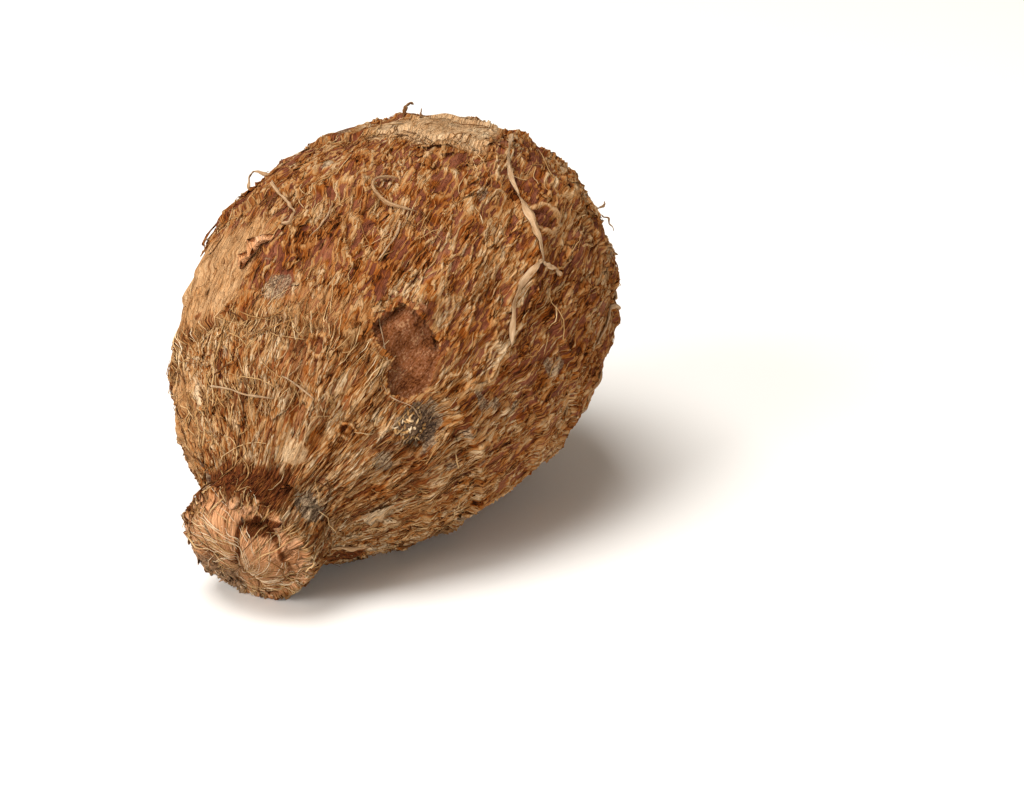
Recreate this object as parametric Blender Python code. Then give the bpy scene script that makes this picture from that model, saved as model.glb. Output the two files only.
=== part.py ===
"""A malanga root: one whole corm with its neck, leaf scars and rootlets, lying as it was put down.

The corm's own axis runs from the neck's tip to the crown. A place on its skin is given by two
values: the distance from the neck's tip along the skin, and the turn round the axis in degrees,
0 on the right (+X), 90 on top. The finished corm is tipped until neck and belly rest on the floor.
"""

import bmesh
import bpy
import numpy as np

NAME = "corm"

# Driving dimensions, in metres
NECK_TO_WIDEST = 0.092
WIDEST_TO_CROWN = 0.0535
HALF_WIDTH = 0.0504
HALF_HEIGHT = 0.0467
SHOULDER_REACH = 0.0765
NECK_RADIUS = 0.0141
NECK_END_ROUNDING = 0.009
NECK_FILLET = 0.0076
NECK_SIDEWAYS = -0.0036
NECK_RISE = 0.0010
POLE_ROUNDING = 0.003
TILT_DEGREES = 23.8
FLAT_DEPTH = 0.0019

# The egg's outline is a little blunter than a parabola towards the neck
EGG_POWER = 1.91
NECK_END_POWER = 2.4

# Soft lumps: share of the axis, turn in degrees, height
LUMPS = (
    (0.55, 150, 0.0019), (0.72, 120, -0.0022), (0.85, 90, -0.0020), (0.72, 40, 0.0032),
    (0.35, 160, 0.0017), (0.40, -60, -0.0020), (0.30, 100, 0.0012), (0.33, -90, -0.0040), (0.56, -90, 0.0016),
)
LUMP_SPREAD = 0.018

# Leaf scars ring the corm: skin distance, sway of the ring, turn of its far point, lip, run-out
LEAF_SCARS = (
    (0.0240, 0.0080, 170, 0.0022, 0.020),
    (0.0490, 0.0012, 100, 0.0008, 0.010),
    (0.0655, 0.0045, 155, 0.0017, 0.012),
    (0.0830, 0.0020, 220, 0.0009, 0.010),
    (0.0990, 0.0030, 150, 0.0014, 0.012),
    (0.1260, 0.0030, 90, 0.0015, 0.011),
    (0.1490, 0.0020, 30, 0.0014, 0.010),
    (0.1680, 0.0015, 200, 0.0013, 0.008),
)
SCAR_STEP = 0.0016
# Vertices are drawn in towards each scar, by this share, within this distance of it
SCAR_GATHER = 0.6
SCAR_REACH = 0.0045

# Ridges run lengthwise: how many go round, height, drift along the corm
RIDGES = ((21, 0.00050, 130.0), (13, 0.00042, 90.0), (26, 0.00032, 170.0))
RIDGE_SWING = 1.4
RIDGE_FADE_NECK = 0.045
RIDGE_FADE_CROWN = 0.060

# Corners of the patch where the outer skin has torn away: skin distance, turn in degrees
TORN_CORNERS = (
    (0.0705, 68), (0.0770, 64), (0.0751, 49), (0.0724, 45),
    (0.0637, 40), (0.0576, 50), (0.0614, 56), (0.0663, 64),
)
TORN_DEPTH = 0.0018
TORN_EDGE = 0.0016
TORN_ARM = 0.047

# Round features: skin distance, turn in degrees, radius, height
MOUNDS = (
    (0.0576, 35, 0.0060, 0.0024),
    (0.0150, 112, 0.0080, 0.0020),
    (0.0115, 38, 0.0085, 0.0030),
    (0.0175, 76, 0.0042, -0.0044),
    (0.0130, 190, 0.0070, 0.0014),
    (0.1200, 215, 0.0065, 0.0022),
    (0.0950, -40, 0.0060, 0.0020),
    (0.1905, 0, 0.0105, 0.0022),
)

# Collars left by roots: skin distance, turn in degrees, ring radius
ROOT_COLLARS = (
    (0.0614, 80, 0.0021), (0.0465, 55, 0.0019), (0.1174, 42, 0.0032), (0.0686, 115, 0.0014),
    (0.0160, 26, 0.0017), (0.0740, 190, 0.0021), (0.1050, 228, 0.0024), (0.0880, -22, 0.0020),
    (0.1400, -75, 0.0022), (0.1380, 170, 0.0019), (0.0550, 228, 0.0018), (0.1120, 318, 0.0023),
)
COLLAR_THICKNESS = 0.00055
COLLAR_POINTS = 8

# Rootlets that lie on the skin: thickness, then skin distance and turn of each point
ROOTLETS = (
    (0.00085, ((0.1400, 63), (0.1285, 58), (0.1212, 55), (0.1160, 50), (0.1124, 45), (0.1060, 38))),
    (0.00085, ((0.1075, 39), (0.1014, 40), (0.0961, 39), (0.0919, 37), (0.0850, 31))),
    (0.00070, ((0.1064, 39), (0.1072, 35), (0.1076, 31))),
    (0.00080, ((0.1086, 80), (0.1092, 84), (0.1064, 87), (0.1028, 86), (0.1006, 81), (0.1012, 73))),
    (0.00070, ((0.1105, 124), (0.1029, 116), (0.0991, 110), (0.0934, 105))),
    (0.00070, ((0.0170, -4), (0.0230, -14), (0.0290, -24), (0.0354, -31))),
)
ROOTLET_SINK = 0.25

# More rootlets on the sides that lie away, grown by a seeded rule
SEED = 41
WILD_ROOTLETS = 8
WILD_TURNS = (-40, -10, 150, 225)
WILD_START = (0.060, 0.150)
WILD_POINTS = 5
WILD_STEP = 0.0065
WILD_RADIUS = (0.00060, 0.00085)

# Stubs of broken roots that stand up: skin distance, turn, height, radius
STUBS = (
    (0.1440, 104, 0.0034, 0.0008), (0.1470, 97, 0.0024, 0.0006), (0.1330, 22, 0.0026, 0.0006),
    (0.1560, 250, 0.0030, 0.0008), (0.1400, 290, 0.0024, 0.0007),
)

# Lifted scales of old leaf bases: skin distance, turn, half length round, half width, lift degrees
SCALES = (
    (0.1010, 140, 0.0065, 0.0030, 24), (0.1110, 133, 0.0045, 0.0022, 34),
    (0.0790, 113, 0.0075, 0.0022, 12), (0.1230, 70, 0.0055, 0.0026, 16),
    (0.0690, 196, 0.0065, 0.0026, 18), (0.1020, 205, 0.0060, 0.0026, 20),
    (0.1300, 240, 0.0055, 0.0024, 22), (0.1300, 275, 0.0060, 0.0026, 16),
    (0.1320, 320, 0.0055, 0.0024, 20), (0.0700, 320, 0.0060, 0.0026, 16),
)
SCALE_THICKNESS = 0.0007

# Mesh
SIDES = 76
RINGS = 50
RING_CROWDING = 1.18
PROFILE_SAMPLES = 1500
NORMAL_STEP = 0.0004
MERGE = 0.00001
TUBE_RESOLUTION = 0

SKIN_COLOUR = (0.245, 0.115, 0.048, 1.0)
SKIN_ROUGHNESS = 0.86


def clear_scene():
    for old in list(bpy.context.scene.objects):
        bpy.data.objects.remove(old, do_unlink=True)


def round_off(depth, reach, power):
    """One at the shoulder, nought at full depth, along a rounded curve."""
    return np.clip(1 - np.clip(depth / reach, 0, 1) ** power, 0, 1) ** (1 / power)


def axis_radius(along):
    """Height of the outline over the axis: an egg joined to a stubby neck by a soft fillet."""
    before = np.clip((NECK_TO_WIDEST - along) / SHOULDER_REACH, 0, 1)
    front = np.sqrt(np.clip(1 - before ** EGG_POWER, 0, 1))
    back = round_off(along - NECK_TO_WIDEST, WIDEST_TO_CROWN, EGG_POWER)
    egg = HALF_HEIGHT * np.where(along < NECK_TO_WIDEST, front, back)
    fade = np.clip(2 * (1 - along / NECK_TO_WIDEST), 0, 1)
    neck = NECK_RADIUS * fade * round_off(NECK_END_ROUNDING - along, NECK_END_ROUNDING, NECK_END_POWER)
    joined = 0.5 * (egg + neck + np.hypot(egg - neck, NECK_FILLET))
    length = NECK_TO_WIDEST + WIDEST_TO_CROWN
    tip = round_off(POLE_ROUNDING - along, POLE_ROUNDING, 2)
    crown = round_off(along - length + POLE_ROUNDING, POLE_ROUNDING, 2)
    return joined * tip * crown


def outline():
    """Axis position, radius and running skin length along the outline."""
    length = NECK_TO_WIDEST + WIDEST_TO_CROWN
    along = length * 0.5 * (1 - np.cos(np.linspace(0, np.pi, PROFILE_SAMPLES)))
    radius = axis_radius(along)
    steps = np.hypot(np.diff(along), np.diff(radius))
    return along, radius, np.concatenate([[0.0], np.cumsum(steps)])


ALONG, RADIUS, SKIN = outline()
SKIN_LENGTH = SKIN[-1]


def bend(along):
    """How far the axis has left its straight line, from nothing at the belly to the neck's offset."""
    return np.clip(1 - along / NECK_TO_WIDEST, 0, 1) ** 2


def plain_form(skin, turn):
    """Point of the plain corm at a skin distance and a turn in radians."""
    along = np.interp(skin, SKIN, ALONG)
    radius = np.interp(skin, SKIN, RADIUS)
    across = radius * np.cos(turn) * HALF_WIDTH / HALF_HEIGHT + NECK_SIDEWAYS * bend(along)
    height = radius * np.sin(turn) + NECK_RISE * bend(along)
    return np.stack([across, along, height], axis=-1)


def lumpy_form(skin, turn):
    """The plain corm with soft lumps pushed out or in round chosen points."""
    point = plain_form(skin, turn)
    along = point[..., 1]
    core = np.stack([
        NECK_SIDEWAYS * bend(along),
        NECK_TO_WIDEST + 0.35 * (along - NECK_TO_WIDEST),
        NECK_RISE * bend(along),
    ], axis=-1)
    outward = point - core
    outward /= np.maximum(np.linalg.norm(outward, axis=-1, keepdims=True), 1e-9)
    moved = point.copy()
    for share, degrees, height in LUMPS:
        place = np.interp(share * ALONG[-1], ALONG, SKIN)
        centre = plain_form(np.asarray(place), np.radians(degrees))
        distance = np.linalg.norm(point - centre, axis=-1)
        moved += outward * (height * np.exp(-0.5 * (distance / LUMP_SPREAD) ** 2))[..., None]
    return moved


def smooth_step(value):
    share = np.clip(value, 0, 1)
    return share * share * (3 - 2 * share)


def past_scar(skin, turn, place, sway, direction):
    """Distance beyond a leaf scar, whose ring sways to one side of its place."""
    return skin - place - sway * np.cos(turn - np.radians(direction))


def scar_relief(skin, turn):
    """Each leaf scar is a low lip that drops towards the neck and runs out towards the crown."""
    height = np.zeros_like(skin)
    for place, sway, direction, lip, run_out in LEAF_SCARS:
        past = past_scar(skin, turn, place, sway, direction)
        height += lip * smooth_step(past / SCAR_STEP + 0.5) * np.exp(-np.clip(past, 0, None) / run_out)
    return height


def gathered(skin, turn):
    """Skin distances drawn in towards the leaf scars, so that each lip stays crisp."""
    moved = skin.copy()
    for place, sway, direction, _, _ in LEAF_SCARS:
        past = past_scar(skin, turn, place, sway, direction)
        moved -= SCAR_GATHER * past * np.exp(-(past / SCAR_REACH) ** 2)
    return np.where((skin > 0) & (skin < SKIN_LENGTH), moved, skin)


def ridge_relief(skin, turn):
    """Corky ridges along the corm, which wander as they go and die out at both ends."""
    height = np.zeros_like(skin)
    for count, size, drift in RIDGES:
        wander = RIDGE_SWING * np.sin(drift * skin + count)
        height += size * np.sin(count * turn + wander)
    neck_fade = smooth_step(skin / RIDGE_FADE_NECK)
    return height * neck_fade * smooth_step((SKIN_LENGTH - skin) / RIDGE_FADE_CROWN)


def torn_relief(skin, turn):
    """The torn patch is sunk inside its corners, measured on the skin laid flat."""
    corner = np.array([(place, np.radians(degrees) * TORN_ARM) for place, degrees in TORN_CORNERS])
    spot = np.stack([skin, turn * TORN_ARM], axis=-1)
    nearest = np.full(skin.shape, 1.0)
    inside = np.zeros(skin.shape, dtype=bool)
    for start, end in zip(corner, np.roll(corner, -1, axis=0)):
        side = end - start
        share = np.clip(((spot - start) @ side) / (side @ side), 0, 1)
        nearest = np.minimum(nearest, np.linalg.norm(spot - start - share[..., None] * side, axis=-1))
        crosses = (start[1] > spot[..., 1]) != (end[1] > spot[..., 1])
        level = start[0] + (spot[..., 1] - start[1]) * side[0] / (side[1] if side[1] else 1e-9)
        inside ^= crosses & (spot[..., 0] < level)
    signed = np.where(inside, nearest, -nearest)
    return -TORN_DEPTH * smooth_step(signed / TORN_EDGE + 0.5)


def mound_relief(skin, turn, form):
    """Bud scars, the neck's two lobes with the hollow between them, and the crown's blunt bud."""
    height = np.zeros_like(skin)
    for place, degrees, radius, size in MOUNDS:
        centre = lumpy_form(np.asarray(min(place, SKIN_LENGTH)), np.radians(degrees))
        share = np.linalg.norm(form - centre, axis=-1) / radius
        height += size * np.exp(-share ** 2)
    return height


def outward_of(skin, turn):
    """Unit normal of the lumpy form, from its slopes along and round the skin."""
    near = np.clip(skin, 2 * NORMAL_STEP, SKIN_LENGTH - 2 * NORMAL_STEP)
    along = lumpy_form(near + NORMAL_STEP, turn) - lumpy_form(near - NORMAL_STEP, turn)
    spin = NORMAL_STEP / HALF_HEIGHT
    around = lumpy_form(near, turn + spin) - lumpy_form(near, turn - spin)
    normal = np.cross(along, around)
    return normal / np.maximum(np.linalg.norm(normal, axis=-1, keepdims=True), 1e-12)


def skin_point(skin, turn, above=0.0):
    """Point on the finished skin in the corm's own frame, raised by a height above it."""
    form = lumpy_form(skin, turn)
    relief = scar_relief(skin, turn) + ridge_relief(skin, turn) + torn_relief(skin, turn)
    relief = relief + mound_relief(skin, turn, form) + above
    return form + outward_of(skin, turn) * relief[..., None]


def tipped(point):
    """Tips the corm's own frame about X until neck and belly are level."""
    angle = np.radians(TILT_DEGREES)
    along, height = point[..., 1], point[..., 2]
    return np.stack([
        point[..., 0],
        along * np.cos(angle) - height * np.sin(angle),
        along * np.sin(angle) + height * np.cos(angle),
    ], axis=-1)


def lying_shift():
    """Move that centres the tipped corm over the origin and presses its flat spots to the floor."""
    share, turn = np.meshgrid(
        np.linspace(0, 1, RINGS + 1),
        np.linspace(-np.pi, np.pi, SIDES + 1),
        indexing="ij",
    )
    skin = gathered(SKIN_LENGTH * share ** RING_CROWDING, turn)
    point = tipped(skin_point(skin, turn)).reshape(-1, 3)
    low, high = point.min(axis=0), point.max(axis=0)
    return np.array([-0.5 * (low[0] + high[0]), -0.5 * (low[1] + high[1]), -low[2] - FLAT_DEPTH])


SHIFT = lying_shift()


def placed(point):
    """A point of the corm's own frame where it lies in the world, pressed flat at the floor."""
    world = tipped(point) + SHIFT
    world[..., 2] = np.maximum(world[..., 2], 0.0)
    return world


def new_object(name, mesh, collection):
    made = bpy.data.objects.new(name, mesh)
    collection.objects.link(made)
    return made


def make_corm(collection):
    """A sphere's rings and sides carried to the corm's skin."""
    ball = bmesh.new()
    bmesh.ops.create_uvsphere(ball, u_segments=SIDES, v_segments=RINGS, radius=1.0)
    unit = np.array([vertex.co for vertex in ball.verts])
    share = np.arccos(np.clip(unit[:, 2], -1, 1)) / np.pi
    turn = np.arctan2(unit[:, 1], unit[:, 0])
    skin = gathered(SKIN_LENGTH * share ** RING_CROWDING, turn)
    world = placed(skin_point(skin, turn))
    for vertex, place in zip(ball.verts, world):
        vertex.co = place
    mesh = bpy.data.meshes.new(NAME)
    ball.to_mesh(mesh)
    ball.free()
    return new_object(NAME, mesh, collection)


def mesh_from_curve(curve_object, collection):
    """Turns a curve into a closed mesh and drops the curve."""
    graph = bpy.context.evaluated_depsgraph_get()
    mesh = bpy.data.meshes.new_from_object(curve_object.evaluated_get(graph))
    welded = bmesh.new()
    welded.from_mesh(mesh)
    bmesh.ops.remove_doubles(welded, verts=welded.verts, dist=MERGE)
    bmesh.ops.recalc_face_normals(welded, faces=welded.faces)
    welded.to_mesh(mesh)
    welded.free()
    made = new_object(curve_object.name + "_solid", mesh, collection)
    made.matrix_world = curve_object.matrix_world
    bpy.data.objects.remove(curve_object, do_unlink=True)
    return made


def tube(name, points, radii, collection, closed=False):
    """A tube of few sides along points in the world, as a closed mesh."""
    curve = bpy.data.curves.new(name, "CURVE")
    curve.dimensions = "3D"
    curve.bevel_depth = 1.0
    curve.bevel_resolution = TUBE_RESOLUTION
    curve.use_fill_caps = not closed
    line = curve.splines.new("POLY")
    line.points.add(len(points) - 1)
    for knot, place, radius in zip(line.points, points, radii):
        knot.co = (*place, 1.0)
        knot.radius = radius
    line.use_cyclic_u = closed
    holder = new_object(name, curve, collection)
    return mesh_from_curve(holder, collection)


def make_rootlet(name, thickness, places, collection):
    """A rootlet that lies on the skin, thinner at its far end."""
    skin = np.array([place for place, degrees in places])
    turn = np.radians([degrees for place, degrees in places])
    middle = tipped(skin_point(skin, turn, above=thickness * (1 - 2 * ROOTLET_SINK))) + SHIFT
    radii = thickness * np.linspace(1.0, 0.7, len(places))
    return tube(name, middle, radii, collection)


def wild_rootlets(collection):
    """Rootlets on the far sides: each starts at random and wanders on by short steps."""
    draw = np.random.default_rng(SEED)
    for index in range(WILD_ROOTLETS):
        place = draw.uniform(*WILD_START)
        right_side = draw.random() < 0.4
        degrees = draw.uniform(*WILD_TURNS[:2]) if right_side else draw.uniform(*WILD_TURNS[2:])
        heading = draw.uniform(0, 2 * np.pi)
        places = []
        for _ in range(WILD_POINTS):
            places.append((place, degrees))
            arm = max(np.interp(place, SKIN, RADIUS), NECK_RADIUS)
            place += WILD_STEP * np.cos(heading)
            degrees += np.degrees(WILD_STEP * np.sin(heading) / arm)
            heading += draw.uniform(-0.7, 0.7)
        make_rootlet(f"wild_rootlet_{index}", draw.uniform(*WILD_RADIUS), places, collection)


def make_collar(name, place, degrees, radius, collection):
    """A low ring round the scar of a root."""
    around = np.linspace(0, 2 * np.pi, COLLAR_POINTS, endpoint=False)
    arm = max(np.interp(place, SKIN, RADIUS), NECK_RADIUS)
    skin = place + radius * np.cos(around)
    turn = np.radians(degrees) + radius * np.sin(around) / arm
    middle = tipped(skin_point(skin, turn, above=COLLAR_THICKNESS * 0.2)) + SHIFT
    tube(name, middle, np.full(COLLAR_POINTS, COLLAR_THICKNESS), collection, closed=True)


def make_stub(name, place, degrees, height, radius, collection):
    """The broken end of a root, standing up from well inside the skin."""
    skin = np.full(3, place) + np.array([0.0, 0.0, 0.35]) * height
    turn = np.full(3, np.radians(degrees))
    heights = np.array([-1.5 * radius, 0.5 * height, height])
    middle = tipped(skin_point(skin, turn, above=heights)) + SHIFT
    tube(name, middle, radius * np.array([1.1, 1.0, 0.7]), collection)


def make_scale(name, place, degrees, half_length, half_width, lift, collection):
    """A flattened ball set on edge in the skin, so that its crown side stands off."""
    ball = bmesh.new()
    bmesh.ops.create_uvsphere(ball, u_segments=8, v_segments=5, radius=1.0)
    unit = np.array([vertex.co for vertex in ball.verts])
    angle = np.radians(lift)
    across = unit[:, 0] * half_width
    thick = unit[:, 2] * SCALE_THICKNESS
    rise = (across + half_width) * np.sin(angle) + thick * np.cos(angle)
    arm = max(np.interp(place, SKIN, RADIUS), NECK_RADIUS)
    skin = place + across * np.cos(angle)
    turn = np.radians(degrees) + unit[:, 1] * half_length / arm
    world = placed(skin_point(skin, turn, above=rise - 0.5 * SCALE_THICKNESS))
    for vertex, spot in zip(ball.verts, world):
        vertex.co = spot
    mesh = bpy.data.meshes.new(name)
    ball.to_mesh(mesh)
    ball.free()
    new_object(name, mesh, collection)


def grow_details(collection):
    for index, (thickness, places) in enumerate(ROOTLETS):
        make_rootlet(f"rootlet_{index}", thickness, places, collection)
    wild_rootlets(collection)
    for index, collar in enumerate(ROOT_COLLARS):
        make_collar(f"collar_{index}", *collar, collection)
    for index, stub in enumerate(STUBS):
        make_stub(f"stub_{index}", *stub, collection)
    for index, scale in enumerate(SCALES):
        make_scale(f"scale_{index}", *scale, collection)


def island_from(start):
    """Every vertex that edges join to the first one."""
    found = {start}
    waiting = [start]
    while waiting:
        vertex = waiting.pop()
        for edge in vertex.link_edges:
            other = edge.other_vert(vertex)
            if other not in found:
                found.add(other)
                waiting.append(other)
    return found


def keep_outer_skin(mesh):
    """Fills the pockets that fusing has sealed, and drops loose scraps: only the outer skin stays."""
    whole = bmesh.new()
    whole.from_mesh(mesh)
    skin = island_from(max(whole.verts, key=lambda vertex: vertex.co.z))
    bmesh.ops.delete(whole, geom=[vertex for vertex in whole.verts if vertex not in skin], context="VERTS")
    whole.to_mesh(mesh)
    whole.free()


def fuse(corm, collection):
    """Joins everything in the collection to the corm as one body, then drops the collection."""
    union = corm.modifiers.new("fused_details", "BOOLEAN")
    union.operation = "UNION"
    union.operand_type = "COLLECTION"
    union.collection = collection
    union.solver = "MANIFOLD"
    graph = bpy.context.evaluated_depsgraph_get()
    mesh = bpy.data.meshes.new_from_object(corm.evaluated_get(graph))
    corm.modifiers.remove(union)
    keep_outer_skin(mesh)
    corm.data = mesh
    for grown in list(collection.objects):
        bpy.data.objects.remove(grown, do_unlink=True)
    bpy.data.collections.remove(collection)


def skin_material():
    material = bpy.data.materials.new("corky_skin")
    material.use_nodes = True
    shader = material.node_tree.nodes["Principled BSDF"]
    shader.inputs["Base Color"].default_value = SKIN_COLOUR
    shader.inputs["Roughness"].default_value = SKIN_ROUGHNESS
    shader.inputs["Metallic"].default_value = 0.0
    material.diffuse_color = SKIN_COLOUR
    return material


def new_collection(name):
    made = bpy.data.collections.new(name)
    bpy.context.scene.collection.children.link(made)
    return made


def main():
    clear_scene()
    root = new_collection("malanga_root")
    details = new_collection("grown_details")
    corm = make_corm(root)
    grow_details(details)
    fuse(corm, details)
    corm.data.materials.clear()
    corm.data.materials.append(skin_material())
    corm.data.shade_smooth()


main()
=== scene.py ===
"""A malanga root in its corky, fibrous skin, lying on a white floor under soft light.

A place on the corm's skin is given by two values: the distance from the neck's tip along the
skin, in metres, and the turn round the corm's own axis, 0 on the right and 90 degrees on top.
Every piece is worked out from those two values on the same form as the solid.
"""

import logging
from dataclasses import dataclass, replace
from enum import Enum
from functools import cached_property
from typing import Callable

import bpy
import numpy as np
from mathutils import Matrix, Vector


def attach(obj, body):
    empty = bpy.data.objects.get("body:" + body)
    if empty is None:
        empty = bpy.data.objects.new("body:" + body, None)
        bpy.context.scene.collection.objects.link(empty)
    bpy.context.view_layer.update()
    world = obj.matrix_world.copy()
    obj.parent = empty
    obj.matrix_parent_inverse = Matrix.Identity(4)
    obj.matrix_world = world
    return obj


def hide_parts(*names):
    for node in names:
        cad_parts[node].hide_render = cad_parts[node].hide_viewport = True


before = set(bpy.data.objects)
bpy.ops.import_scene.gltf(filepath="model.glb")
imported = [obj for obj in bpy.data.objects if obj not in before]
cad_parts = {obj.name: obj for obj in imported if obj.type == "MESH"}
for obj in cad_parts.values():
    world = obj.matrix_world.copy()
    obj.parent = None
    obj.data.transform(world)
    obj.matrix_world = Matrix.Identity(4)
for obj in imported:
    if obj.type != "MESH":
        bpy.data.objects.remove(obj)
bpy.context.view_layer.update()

Array = np.ndarray
Range = tuple[float, float]
Pairs = tuple[Range, ...]
Triple = tuple[float, float, float]
LOG = logging.getLogger("malanga_root")
MM = 0.001

# The form of the solid, in metres. Lumps: share of the length, turn in degrees, height
LUMPS = (
    (0.55, 150, 0.0019), (0.72, 120, -0.0022), (0.85, 90, -0.0020), (0.72, 40, 0.0032),
    (0.35, 160, 0.0017), (0.40, -60, -0.0020), (0.30, 100, 0.0012), (0.33, -90, -0.0040),
    (0.56, -90, 0.0016),
)
# Leaf scars: skin distance, sway, the sway's turn in degrees, height of the lip, run-out
LEAF_SCARS = (
    (0.0240, 0.0080, 170, 0.0022, 0.020),
    (0.0490, 0.0012, 100, 0.0008, 0.010),
    (0.0655, 0.0045, 155, 0.0017, 0.012),
    (0.0830, 0.0020, 220, 0.0009, 0.010),
    (0.0990, 0.0030, 150, 0.0014, 0.012),
    (0.1260, 0.0030, 90, 0.0015, 0.011),
    (0.1490, 0.0020, 30, 0.0014, 0.010),
    (0.1680, 0.0015, 200, 0.0013, 0.008),
)
# Ridges: how many round the corm, height, how fast they wander
RIDGES = ((21, 0.00050, 130.0), (13, 0.00042, 90.0), (26, 0.00032, 170.0))
# Corners of the torn patch: skin distance, turn in degrees
TORN_CORNERS = (
    (0.0705, 68), (0.0770, 64), (0.0751, 49), (0.0724, 45),
    (0.0637, 40), (0.0576, 50), (0.0614, 56), (0.0663, 64),
)
# Mounds: skin distance, turn in degrees, radius, height
MOUNDS = (
    (0.0576, 35, 0.0060, 0.0024),
    (0.0150, 112, 0.0080, 0.0020),
    (0.0115, 38, 0.0085, 0.0030),
    (0.0175, 76, 0.0042, -0.0044),
    (0.0130, 190, 0.0070, 0.0014),
    (0.1200, 215, 0.0065, 0.0022),
    (0.0950, -40, 0.0060, 0.0020),
    (0.1905, 0, 0.0105, 0.0022),
)

# What is drawn closer to the photograph than the solid's 3 mm facets allow, in the same terms
SEEN_SCARS = (
    (0.0158, 0.0022, 120, 0.0020, 0.014),
    (0.0480, 0.0012, 100, 0.0008, 0.010),
    (0.0625, 0.0020, 120, 0.0019, 0.012),
    *LEAF_SCARS[3:],
)
SEEN_TORN = (
    (0.0691, 67.7), (0.0737, 64.1), (0.0773, 63.6), (0.0764, 59.5), (0.0755, 53.3),
    (0.0746, 47.6), (0.0714, 43.5), (0.0660, 40.9), (0.0615, 38.4), (0.0574, 42.0),
    (0.0560, 48.2), (0.0588, 53.3), (0.0633, 55.4), (0.0637, 61.0), (0.0655, 64.6),
)
SEEN_MOUNDS = (
    (0.0540, 33.5, 0.0032, 0.0021),
    (0.0572, 26.5, 0.0022, 0.0009),
    (0.0120, 114, 0.0075, 0.0022),
    (0.0072, 42, 0.0080, 0.0022),
    (0.0133, 66, 0.0032, -0.0022),
    (0.0185, -38, 0.0090, -0.0032),
    (0.0130, 190, 0.0070, 0.0008),
    *MOUNDS[5:],
)
# Scars of fallen roots: skin distance, turn in degrees, radius; then the bud scar's
ROOT_SCARS = (
    (0.0597, 80, 0.0021), (0.0443, 53, 0.0017), (0.1155, 41, 0.0033), (0.0660, 116, 0.0014),
    (0.0131, 28, 0.0016), (0.0740, 190, 0.0021), (0.1050, 228, 0.0024), (0.0880, -22, 0.0020),
    (0.1400, -75, 0.0022), (0.1380, 170, 0.0019), (0.0550, 228, 0.0018), (0.1120, 318, 0.0023),
)
BUD_SCAR = (0.0554, 31, 0.0056)
# Radius of a middling root scar, whose rim and pit have their full height and depth
SCAR_SIZE = 0.0021


@dataclass(frozen=True)
class Zone:
    """A belt of the skin between two skin distances and two turns in degrees, with soft edges."""

    share: float
    skin: Range
    skin_edge: float
    turns: Range
    turn_edge: float


# Spots are a skin distance, a turn in degrees, a radius and a strength
Spots = tuple[tuple[float, float, float, float], ...]
PALE_BAND = Zone(1.0, (0.1245, 0.1570), 0.004, (63, 104), 8)
PALE_LOW_LEFT = Zone(0.6, (0.0350, 0.0600), 0.010, (136, 190), 16)
PALE_RING = Zone(0.45, (0.0600, 0.0740), 0.006, (58, 112), 14)
# Pale spots: a rubbed spot, and the neck's light grey end made paler still as painted light where it faces
# down.
PALE_AND_LIT_SPOTS: Spots = ((0.0345, 71, 0.0030, 1.0), (0.0100, -140, 0.0090, 0.8))
SMOOTH_FLANK = Zone(1.0, (0.0640, 0.0960), 0.010, (110, 180), 18)
# Dark brown skin below the fringed leaf scar, with painted shade under its lip.
DARK_AND_SHADED_FRINGE = Zone(0.25, (0.0555, 0.0625), 0.003, (92, 168), 14)
# Dark spots: the first is painted shade in the neck's hollow and the third painted shade on the bud scar's
# right side; the others are dark patches.
DARK_AND_SHADED_SPOTS: Spots = (
    (0.0137, 66, 0.0027, 1.0), (0.0490, 17, 0.0060, 0.45), (0.0566, 28, 0.0022, 1.0),
    (0.0310, -48, 0.0050, 0.7), (0.0460, 34, 0.0026, 0.6), (0.0696, 135, 0.0016, 0.6),
)
GREY_SPOTS: Spots = (
    (0.0715, 101, 0.0042, 0.6), (0.0240, 40, 0.0036, 0.9), (0.0440, 30, 0.0030, 0.7),
    (*BUD_SCAR, 1.0), (0.0100, -140, 0.0085, 0.55),
)
BARE_BAND = Zone(0.9, (0.1270, 0.1550), 0.004, (64, 103), 14)
BARE_SPOTS: Spots = (
    *((place, degrees, 1.15 * radius, 1.0) for place, degrees, radius in ROOT_SCARS),
    (0.0345, 70, 0.0028, 1.0), (*BUD_SCAR, 1.0),
)
RIDGED_RIGHT = Zone(1.0, (0.0660, 0.2000), 0.020, (-70, 96), 30)


@dataclass(frozen=True)
class Fold:
    """A fold pressed into the skin along a line of skin distances and turns in degrees; its dark is
    painted shade along the fold.
    """

    depth: float
    width: float
    dark: float
    line: Pairs


FOLDS = (
    Fold(0.0024, 0.0011, 1.0, (
        (0.0095, 171), (0.0066, 163), (0.0045, 147), (0.0015, 112), (0.0024, -56), (0.0065, -75),
    )),
    Fold(0.0030, 0.0013, 1.0, ((0.0128, 82), (0.0142, 70), (0.0144, 58), (0.0132, 47))),
    Fold(0.0015, 0.0010, 0.8, ((0.0128, 84), (0.0095, 84), (0.0064, 80), (0.0030, 95))),
    Fold(0.0012, 0.0010, 0.7, (
        (0.0132, 46), (0.0122, 34), (0.0112, 12), (0.0110, -20), (0.0100, -50),
    )),
)


def linear(code: str) -> tuple[float, float, float, float]:
    """Turns an sRGB hex colour linear.

    Args:
        code: Six hex digits with a leading hash.

    Returns:
        Red, green, blue and an alpha of one.
    """
    parts = [int(code[at:at + 2], 16) / 255 for at in (1, 3, 5)]
    toned = [part / 12.92 if part <= 0.04045 else ((part + 0.055) / 1.055) ** 2.4 for part in parts]
    return (*toned, 1.0)


def smooth_step(value: Array) -> Array:
    """Eases from nought to one as the value does."""
    share = np.clip(value, 0, 1)
    return share * share * (3 - 2 * share)


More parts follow.
